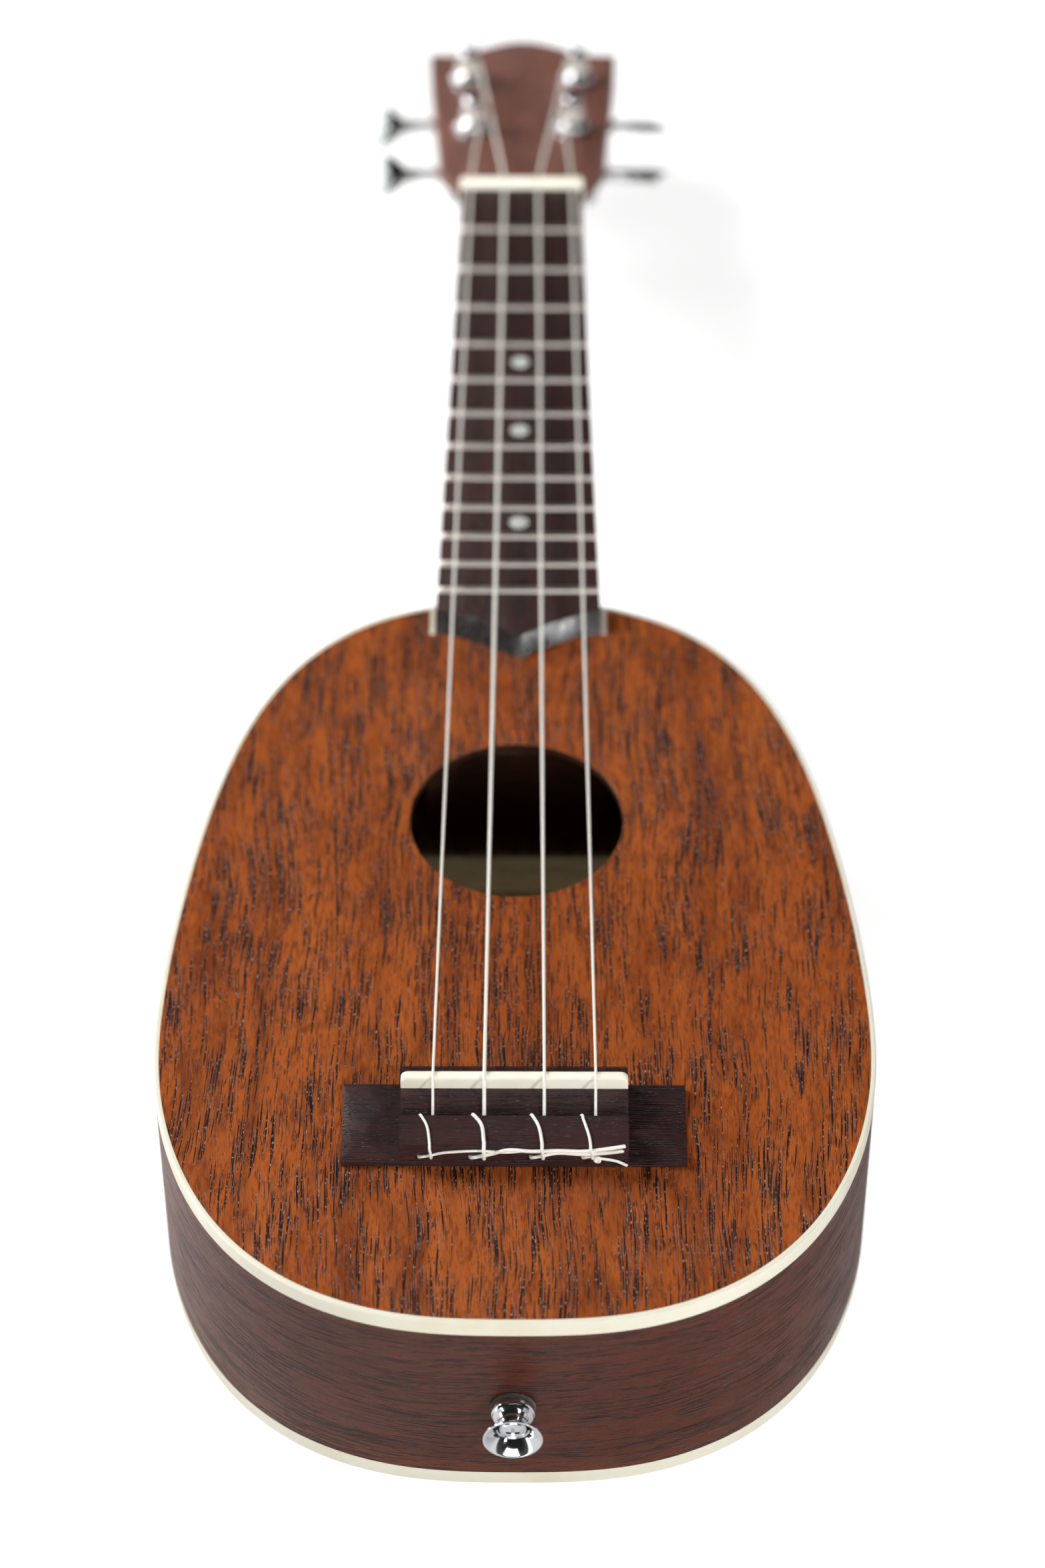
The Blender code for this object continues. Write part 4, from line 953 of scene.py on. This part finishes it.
def tail_path(name, saddle_x, radius):
    """From the cut end, along the block's rear face, to the hole beside the string's own."""
    rear = TIE_REAR - radius - 0.00008
    if name == "a":
        knot = Vector((saddle_x + 0.0003, rear - 0.0006, TOP + 0.0042))
        path = [(0.0260, rear - 0.0004, TOP + 0.0016), (0.0236, rear - 0.0003, TOP + 0.0030)]
        for i in range(7):
            angle = 2 * math.pi * i / 7 + 0.4
            path.append(knot + Vector((0.0006 * math.cos(angle), -0.0001 * i, 0.0005 * math.sin(angle))))
        return path + [(saddle_x - 0.0010, rear, TOP + 0.0042)]
    end_x, end_z, middle_z = TAILS[name]
    lean = {"g": 0.0, "c": 0.0004, "e": 0.0009}[name]
    path = [
        (end_x, rear - lean, TOP + end_z),
        (0.0215, rear - lean * 0.8, TOP + (end_z + middle_z) / 2),
        (0.0165, rear - lean * 0.5, TOP + middle_z),
    ]
    for x in (0.0100, 0.0040, -0.0020, -0.0080, -0.0130):
        if x > saddle_x + 0.0040:
            sway = 0.0003 * math.sin(x * 500 + lean * 4000)
            path.append((x, rear - lean * 0.4, TOP + middle_z + sway))
    path.append((saddle_x + 0.0020, rear, TOP + 0.0053))
    path.append((saddle_x + 0.0002, rear, TOP + 0.0047))
    return path


def tie_path(name, saddle_x, radius):
    """From the string's cut end, behind the tie block, over it, and out to the saddle."""
    tie_top = high_of_tie()
    hole_z = TOP + 0.0034
    rear, front = TIE_REAR, -0.0098
    loop_x = saddle_x + HOLE_STEP
    skim = radius + 0.00008
    over = 3.0 * radius + 0.00010
    up, back, edge, down = (saddle_x + step for step in LOOP_STEPS[name])
    return tail_path(name, saddle_x, radius) + [
        (saddle_x - 0.0014, rear - skim, TOP + 0.0042),
        (loop_x + 0.0006, rear - skim * 0.9, TOP + 0.0039),
        (loop_x + 0.0001, rear - 0.0001, hole_z + 0.0001),
        (loop_x, rear + 0.0012, hole_z),
        (loop_x, front - 0.0006, hole_z),
        (loop_x, front + 0.0005, hole_z + 0.0006),
        (up, front + skim, hole_z + 0.0022),
        (up, front + skim * 0.8, tie_top - 0.0003),
        (up + 0.0002, front - 0.0002, tie_top + radius * 0.85),
        (up * 0.5 + back * 0.5, front - 0.0011, tie_top + radius),
        (back, front - 0.0024, tie_top + radius),
        (edge, rear + 0.0012, tie_top + radius),
        (edge + 0.0001, rear + 0.0001, tie_top + radius * 0.9),
        (edge * 0.7 + down * 0.3, rear - over * 0.75, tie_top - 0.0004),
        (down, rear - over, tie_top - 0.0018),
        (down, rear - over * 0.85, TOP + 0.0044),
        (down * 0.5 + saddle_x * 0.5, rear - 0.0003, hole_z + 0.0001),
        (saddle_x, rear + 0.0014, hole_z),
        (saddle_x, front - 0.0010, hole_z),
        (saddle_x, front + 0.0006, hole_z + 0.00015),
    ]


def high_of_tie():
    """The tie block's top: the highest point at the bridge's rear edge."""
    points = corners("bridge")
    return points[points[:, 1] < TIE_REAR + 0.0005][:, 2].max()


def make_strings():
    for name, side in TUNERS.items():
        saddle_x, nut_x = string_ends(name)
        radius = STRING_RADII[name]
        tied = spline(tie_path(name, saddle_x, radius), 6)
        slant = spline([
            tied[-1],
            (saddle_x, -0.0055, TOP + 0.0068),
            (saddle_x, -0.0016, SADDLE_TOP - 0.0003 + radius),
            (saddle_x, -0.0003, SADDLE_TOP + radius),
            (saddle_x * 0.995 + nut_x * 0.005, 0.0022, SADDLE_TOP + radius - 0.00001),
        ], 5)
        post = post_matrix(name)
        inner = Vector((-side * (0.0025 + radius), 0.0, COIL_TOP))
        nut_top = high("nut").z - 0.0004 + radius
        end = post @ inner
        head = spline([
            (nut_x, NUT_Y - 0.0010, nut_top + 0.00002),
            (nut_x, NUT_Y + 0.0010, nut_top),
            (nut_x + (end.x - nut_x) * 0.02, NUT_Y + 0.0030, nut_top - 0.0003),
            Vector((nut_x, NUT_Y + 0.0040, nut_top - 0.0006)).lerp(end, 0.5),
            end,
        ], 5)
        bm = bmesh.new()
        tube(bm, list(tied[:-1]) + list(slant) + list(head), radius)
        shown(bm, f"string_{name}", NYLON, slot="nylon", smooth=60.0)
        make_coil(name, side, radius, post)


def make_coil(name, side, radius, post):
    """Turns of string on the post, from the tangent point down to the hole."""
    turns, per_turn = 3.25, 28
    path = []
    start = math.pi if side > 0 else 0.0
    for i in range(int(turns * per_turn) + 1):
        share = i / per_turn
        angle = start - side * 2 * math.pi * share
        height = COIL_TOP - 2.05 * radius * max(0.0, share - 0.12)
        swell = 0.0025 + radius
        path.append((swell * math.cos(angle), swell * math.sin(angle), height))
    angle += -side * 0.5
    path.append((0.0018 * math.cos(angle), 0.0018 * math.sin(angle), height))
    bm = bmesh.new()
    tube(bm, path, radius, sides=10)
    piece(bm, f"string_{name}_coil", NYLON, f"tuner_{name}_spindle", slot="nylon", smooth=60.0, matrix=post)


# ---------------------------------------------------------------- strap button

def strap_matrix():
    spot = Vector((0.0, low("side_rim").y, (BACK + TOP) / 2))
    return Matrix.Translation(spot) @ Matrix.Rotation(math.pi / 2, 4, "X")


def make_strap():
    place = strap_matrix()
    rng = random.Random(4)
    bm = bmesh.new()
    profile = [
        (0.0020, 0.00005), (0.0048, 0.00005), (0.0051, 0.0003),
        (0.0051, 0.0009), (0.0048, 0.00118), (0.0020, 0.00118),
    ]

    def fray(value):
        return value + rng.uniform(-1, 1) * 0.00008

    rings = [[(fray(x), fray(y), z) for x, y, z in circle(radius, 72, up)] for radius, up in profile]
    skin(bm, rings, loop=True)
    shown(bm, "strap_washer", FELT, slot="felt", matrix=place)
    outer = [
        (0.0047, 0.0012), (0.00495, 0.00135), (0.0050, 0.0016), (0.0050, 0.0024),
        (0.00495, 0.0026), (0.0046, 0.00275), (0.0046, 0.0029), (0.00475, 0.0031), (0.0046, 0.0034),
        (0.0036, 0.0037),
    ]
    waist = spline([
        (0.0036, 0.0037), (0.0031, 0.0045), (0.0031, 0.0055),
        (0.0037, 0.0065), (0.0050, 0.0078), (0.0063, 0.0088),
    ], 5)
    rim = [(0.0067, 0.0091), (0.00685, 0.0094), (0.0068, 0.0097), (0.0065, 0.00975), (0.0062, 0.0096)]
    dish = [(0.0035, 0.0070), (0.0034, 0.0067), (0.0018, 0.0052), (0.0017, 0.0012)]
    bm = bmesh.new()
    turned(bm, outer + [tuple(p) for p in waist[1:]] + rim + dish, count=96, closed=True)
    shown(bm, "strap_button", CHROME, slot="chrome", matrix=place, smooth=32.0)
    bm = bmesh.new()
    head = [
        (0.0002, -0.0165), (0.0010, -0.0130), (0.0013, -0.0100),
        (0.0013, 0.0046), (0.0030, 0.0064), (0.0031, 0.0067),
    ]
    head += [(0.0031 * math.cos(a), 0.0067 + 0.0011 * math.sin(a)) for a in np.linspace(0.2, 1.45, 6)]
    turned(bm, head, count=48)
    screw = shown(bm, "strap_screw", STEEL, slot="chrome", smooth=32.0)
    cut(screw, cross_recess(0.0017, 0.00038, 0.0063, 0.0085))
    smoothed(screw.data, 32.0)
    screw.data.transform(place)


def cross_recess(arm, half, bottom, top):
    """A tapered cross for a screwdriver."""
    bm = bmesh.new()
    rings = []
    for z, grow in ((bottom, 0.55), (top, 1.15)):
        ring = []
        for quarter in range(4):
            c, s = math.cos(math.pi / 2 * quarter), math.sin(math.pi / 2 * quarter)
            for x, y in ((arm * grow, -half), (arm * grow, half), (half, half)):
                ring.append((x * c - y * s, x * s + y * c, z))
        rings.append(ring)
    skin(bm, rings)
    return bm


# ---------------------------------------------------------------- tuners

def axes(joint, x_axis):
    """A frame at a joint, with z on its axis and x as near x_axis as it can be."""
    z = Vector(joint["axis"]).normalized()
    x = (Vector(x_axis) - z * z.dot(Vector(x_axis))).normalized()
    y = z.cross(x)
    return Matrix.Translation(Vector(joint["pos_m"])) @ Matrix((x, y, z)).transposed().to_4x4()


def post_matrix(name):
    """The post's frame: z out of the headstock's face and x along the button's shaft."""
    side = TUNERS[name]
    shaft = Vector(JOINTS[f"tuner_{name}_turn"]["axis"])
    return axes(JOINTS[f"tuner_{name}_wind"], shaft * side)


def shaft_frame(name):
    """The worm shaft's frame: z out to the button, y away from the nut."""
    face = Vector(JOINTS[f"tuner_{name}_wind"]["axis"])
    return axes(JOINTS[f"tuner_{name}_turn"], face * -TUNERS[name])


def hexagon(apothem, z, count=48, corner=0.0):
    ring = []
    for i in range(count):
        angle = 2 * math.pi * i / count
        within = (angle % (math.pi / 3)) - math.pi / 6
        radius = min(apothem / math.cos(within), apothem * (1.1547 - corner))
        ring.append((radius * math.cos(angle), radius * math.sin(angle), z))
    return ring


def make_bushing(name, place):
    """The chromed sleeve: a washer face, a chamfered hexagon and a rolled lip."""
    bore, sleeve = 0.0031, 0.0040
    rings = [circle(sleeve, 48, -0.0118), circle(sleeve, 48, 0.00005)]
    washer = ((0.0055, 0.00005), (0.0057, 0.0002), (0.0057, 0.0005), (0.0055, 0.0007), (0.0052, 0.0008))
    rings += [circle(radius, 48, z) for radius, z in washer]
    rings += [hexagon(0.0043, 0.0009, corner=0.05), hexagon(0.0045, 0.0011, corner=0.02)]
    rings += [hexagon(0.0045, 0.0023, corner=0.02), hexagon(0.0043, 0.0027, corner=0.07)]
    lip = ((0.0040, 0.0029), (0.0038, 0.0033), (0.0035, 0.0035), (bore, 0.0034), (bore, -0.0118))
    rings += [circle(radius, 48, z) for radius, z in lip]
    bm = bmesh.new()
    skin(bm, rings, loop=True)
    shown(bm, f"tuner_{name}_bushing", CHROME, slot="chrome", matrix=place, smooth=30.0)


def make_post(name, place):
    """The string post, waisted for the coils, with a cross hole."""
    profile = [(0.0019, -0.0197), (0.0024, -0.0190), (0.0024, -0.0155), (0.0029, -0.0152), (0.0029, 0.0033)]
    waist = [
        (0.0029, 0.0035), (0.0026, 0.0039), (0.0025, 0.0043),
        (0.0025, 0.0079), (0.0026, 0.0085), (0.0029, 0.0092),
    ]
    profile += [tuple(p) for p in spline(waist, 3)]
    profile += [(0.0029, 0.0104), (0.0028, 0.0108), (0.0025, 0.0111), (0.0018, 0.01125)]
    bm = bmesh.new()
    turned(bm, profile, count=48)
    body = f"tuner_{name}_spindle"
    post = shown(bm, f"tuner_{name}_post", CHROME, body=body, slot="chrome", smooth=32.0)
    bm = bmesh.new()
    across = Matrix.Translation((0, 0, 0.0060)) @ Matrix.Rotation(math.pi / 2, 4, "X")
    skin(bm, [[across @ Vector(p) for p in circle(0.0006, 16, z)] for z in (-0.004, 0.004)])
    cut(post, bm)
    post.data.transform(place)
    smoothed(post.data, 32.0)


def make_wheel(name, place):
    """The brass worm wheel under the housing's cover."""
    bm = bmesh.new()
    around = GEAR_TEETH * 12
    rings = []
    for z in (-0.0152, -0.0182):
        ring = []
        for i in range(around):
            angle = 2 * math.pi * i / around
            tooth = -math.cos(GEAR_TEETH * angle)
            reach = 0.00338 + 0.00042 * math.copysign(abs(tooth) ** 0.6, tooth)
            ring.append((reach * math.cos(angle), reach * math.sin(angle), z))
        rings.append(ring)
    bores = [circle(0.00245, around, -0.0182), circle(0.00245, around, -0.0152)]
    skin(bm, rings + bores, loop=True)
    piece(bm, f"tuner_{name}_wheel", BRASS, f"tuner_{name}_spindle", slot="brass", matrix=place, smooth=30.0)


def make_lug(name, side, place):
    """The housing's ear, held to the headstock's back by a small screw."""
    thick_low, thick_high = -0.0137, -0.0121
    reach, wide = -0.0106, 0.0030
    ring = []
    for i in range(17):
        angle = math.pi + math.pi * i / 16
        ring.append((wide * math.cos(angle), reach + wide * math.sin(angle)))
    ring += [(wide * 1.5, -0.0064), (-wide * 1.5, -0.0064)]
    bm = bmesh.new()
    rings = []
    for z, shrink in ((thick_low, 0.93), (thick_low + 0.0002, 1.0), (thick_high, 1.0)):
        rings.append([(x * shrink, -0.0085 + (y + 0.0085) * shrink, z) for x, y in ring])
    skin(bm, rings)
    piece(bm, f"tuner_{name}_lug", CHROME, slot="chrome", matrix=place, smooth=30.0)
    bm = bmesh.new()
    head = [(0.0020, 0.0), (0.0021, 0.0002)]
    head += [(0.0021 * math.cos(a), 0.0003 + 0.0009 * math.sin(a)) for a in np.linspace(0.15, 1.45, 7)]
    turned(bm, head, count=40)
    screw = piece(bm, f"tuner_{name}_lug_screw", STEEL, slot="chrome", smooth=30.0)
    cut(screw, cross_recess(0.0012, 0.00028, 0.0005, 0.0020))
    flip = Matrix.Rotation(math.pi, 4, "X") @ Matrix.Rotation(0.4 * side, 4, "Z")
    screw.data.transform(place @ (Matrix.Translation((0, reach, thick_low)) @ flip))
    smoothed(screw.data, 30.0)


BUTTON_START = 0.0166     # from the post to the button's inner end, along the shaft
BUTTON_LEANS = {"g": -0.0009, "c": -0.0020, "e": 0.0014, "a": 0.0012}
BUTTON_TURNS = {"g": 55.0, "c": 57.0, "e": -30.0, "a": -12.0}


def make_button(name, side):
    """A cast button: round collar, slim neck, and a flared wing with a hollowed end."""
    stations = spline([
        (0.0000, 0.00175, 0.00175),
        (0.0004, 0.00200, 0.00200),
        (0.0012, 0.00203, 0.00203),
        (0.0018, 0.00180, 0.00178),
        (0.0028, 0.00195, 0.00165),
        (0.0042, 0.00300, 0.00180),
        (0.0060, 0.00455, 0.00178),
        (0.0080, 0.00575, 0.00155),
        (0.0098, 0.00625, 0.00130),
        (0.0109, 0.00600, 0.00100),
        (0.0117, 0.00480, 0.00055),
    ], 3)
    rings = []
    for along, half_wide, half_thick in stations:
        flat = min(1.0, max(0.0, (half_wide / half_thick - 1.0) / 2.5))
        ring = []
        for i in range(40):
            angle = 2 * math.pi * i / 40
            c, s = math.cos(angle), math.sin(angle)
            x = half_wide * math.copysign(abs(c) ** (1 - 0.15 * flat), c)
            y = half_thick * math.copysign(abs(s) ** (1 - 0.10 * flat), s) * (1 - 0.25 * flat * abs(c) ** 3)
            dip = 0.0024 * flat * (1 - (x / 0.0063) ** 2) * max(0.0, (along - 0.0070) / 0.0047)
            lean = BUTTON_LEANS[name] * (x / 0.006) * max(0.0, (along - 0.0040) / 0.0077)
            ring.append((x, y, along - dip + lean))
        rings.append(ring)
    bm = bmesh.new()
    skin(bm, rings)
    stem = bmesh.new()
    turned(stem, [(0.00150, 0.0082), (0.00165, 0.0085), (0.00165, 0.0165), (0.0015, 0.0168)], count=32)
    frame_of_shaft = shaft_frame(name)
    body = f"tuner_{name}_knob"
    piece(stem, f"tuner_{name}_stem", CHROME, body, slot="chrome", matrix=frame_of_shaft, smooth=30.0)
    place = frame_of_shaft @ Matrix.Translation((0, 0, BUTTON_START))
    place = place @ Matrix.Rotation(side * math.radians(BUTTON_TURNS[name]) + math.pi / 2, 4, "Z")
    node = f"tuner_{name}_button"
    shown(bm, node, BUTTON_CHROME_PAINTED_SHADE, body=body, slot="chrome", matrix=place, smooth=50.0)


def make_tuners():
    for name, side in TUNERS.items():
        place = post_matrix(name)
        make_bushing(name, place)
        make_post(name, place)
        make_wheel(name, place)
        remade(f"tuner_{name}_housing", CHROME, 0.0004, slot="chrome", angle=40.0)
        make_lug(name, side, place)
        make_button(name, side)
        dress(f"tuner_{name}_worm_shaft", BRASS)


# ---------------------------------------------------------------- build

def build_object():
    make_sides()
    make_bindings()
    make_soundboard()
    make_back()
    make_returns()
    dress_inside()
    make_neck()
    make_fingerboard()
    make_frets()
    make_dots()
    remade("nut", NUT_BONE_PAINTED_GLOW, 0.00035, slot="bone")
    remade("saddle", BONE, 0.0002, slot="bone")
    remade("bridge", BRIDGE_WOOD, 0.00022, slot="rosewood", sharp=11.0)
    make_strings()
    make_strap()
    make_tuners()


# ---------------------------------------------------------------- studio

CAMERA_PLACE = (0.0053, -0.6594, 0.8237)
CAMERA_PITCH = 0.7842
CAMERA_YAW = -0.0051
CAMERA_ROLL = -0.0008
LENS = 98.98
FLOOR_HALF = 12.0
FLOOR_GAP = 0.0006


def make_camera():
    data = bpy.data.cameras.new("camera")
    data.lens = LENS
    data.sensor_width = 36.0
    data.clip_start = 0.05
    camera = link("camera", data)
    pitch, yaw, roll = CAMERA_PITCH, CAMERA_YAW, CAMERA_ROLL
    ahead = Vector((math.sin(yaw) * math.cos(pitch), math.cos(yaw) * math.cos(pitch), -math.sin(pitch)))
    right = Vector((math.cos(yaw), -math.sin(yaw), 0.0))
    up = right.cross(ahead)
    right, up = right * math.cos(roll) + up * math.sin(roll), up * math.cos(roll) - right * math.sin(roll)
    turn = Matrix((right, up, -ahead)).transposed().to_4x4()
    camera.matrix_world = Matrix.Translation(CAMERA_PLACE) @ turn
    focus = link("focus", None)
    focus.location = (0.0, -0.004, SADDLE_TOP)
    data.dof.use_dof = True
    data.dof.focus_object = focus
    data.dof.aperture_fstop = 6.3
    bpy.context.scene.camera = camera


def area_light(name, place, target, size, power):
    data = bpy.data.lights.new(name, "AREA")
    data.shape = "RECTANGLE"
    data.size, data.size_y = size
    data.energy = power
    light = link(name, data)
    light.location = place
    light.rotation_euler = (Vector(target) - Vector(place)).to_track_quat("-Z", "Y").to_euler()


def make_floor():
    """A wide pale floor, see-through from below."""
    bm = bmesh.new()
    half = FLOOR_HALF
    square = ((-half, -half), (half, -half), (half, half), (-half, half))
    bm.faces.new([bm.verts.new((x, y, BACK - FLOOR_GAP)) for x, y in square])
    floor = link("floor", mesh_of(bm, "floor"))
    s = Shader("floor_white")
    path = s.node("LightPath").outputs
    spot = s.node("SeparateXYZ", {"Vector": s.coords()}).outputs["X"]
    lit_left = s.times(path["Is Glossy Ray"], s.span(spot, -0.12, -0.20, 0.0, 5.0))
    seen = s.math("MAXIMUM", path["Is Camera Ray"], lit_left)
    s.surface(
        Base_Color=(0.80, 0.80, 0.80, 1.0),
        Roughness=0.95,
        Specular_IOR_Level=0.1,
        Emission_Color=(1.0, 1.0, 1.0, 1.0),
        Emission_Strength=s.times(seen, 0.70),
    )
    behind = s.node("NewGeometry").outputs["Backfacing"]
    clear = s.node("BsdfTransparent").outputs["BSDF"]
    mixed = s.node("MixShader", {0: behind, 1: s.bsdf.outputs["BSDF"], 2: clear})
    s.plug(s.tree.nodes["Material Output"].inputs["Surface"], mixed.outputs["Shader"])
    floor.data.materials.append(s.material)


def make_world():
    """White to the camera, an even glow on matt things, and a dark ceiling in shiny ones."""
    world = bpy.data.worlds.new("studio")
    bpy.context.scene.world = world
    world.use_nodes = True
    tree = world.node_tree

    def node(kind, inputs=None, **settings):
        made = tree.nodes.new("ShaderNode" + kind)
        for key, value in settings.items():
            setattr(made, key, value)
        for key, value in (inputs or {}).items():
            if isinstance(value, bpy.types.NodeSocket):
                tree.links.new(value, made.inputs[key])
            else:
                made.inputs[key].default_value = value
        return made

    path = node("LightPath").outputs
    place = node("TexCoord").outputs["Generated"]
    rise = node("SeparateXYZ", {"Vector": place}).outputs["Z"]
    ceiling = node(
        "MapRange",
        {"Value": rise, "From Min": 0.16, "From Max": 0.42, "To Min": 1.0, "To Max": 0.26},
        interpolation_type="SMOOTHSTEP",
    ).outputs["Result"]
    levels = {"From Min": -0.1, "From Max": 0.9, "To Min": 0.36, "To Max": 0.50}
    glow = node("MapRange", {"Value": rise, **levels})
    shiny = node("Mix", {0: path["Is Glossy Ray"], 2: glow.outputs["Result"], 3: ceiling}).outputs[0]
    strength = node("Mix", {0: path["Is Camera Ray"], 2: shiny, 3: 1.15}).outputs[0]
    tree.links.new(strength, tree.nodes["Background"].inputs["Strength"])


def make_studio():
    bpy.context.scene.view_settings.view_transform = "Standard"
    make_camera()
    make_world()
    make_floor()
    area_light("window_left", (-1.20, 0.62, 1.00), (0.0, 0.05, 0.05), (0.75, 0.75), 27.0)
    area_light("lamp_right", (0.95, -0.72, 0.85), (0.0, 0.0, 0.05), (0.13, 0.13), 9.5)
    area_light("front_fill", (0.10, -1.70, 0.75), (0.0, -0.05, 0.03), (1.2, 0.7), 13.0)


build_object()
make_studio()
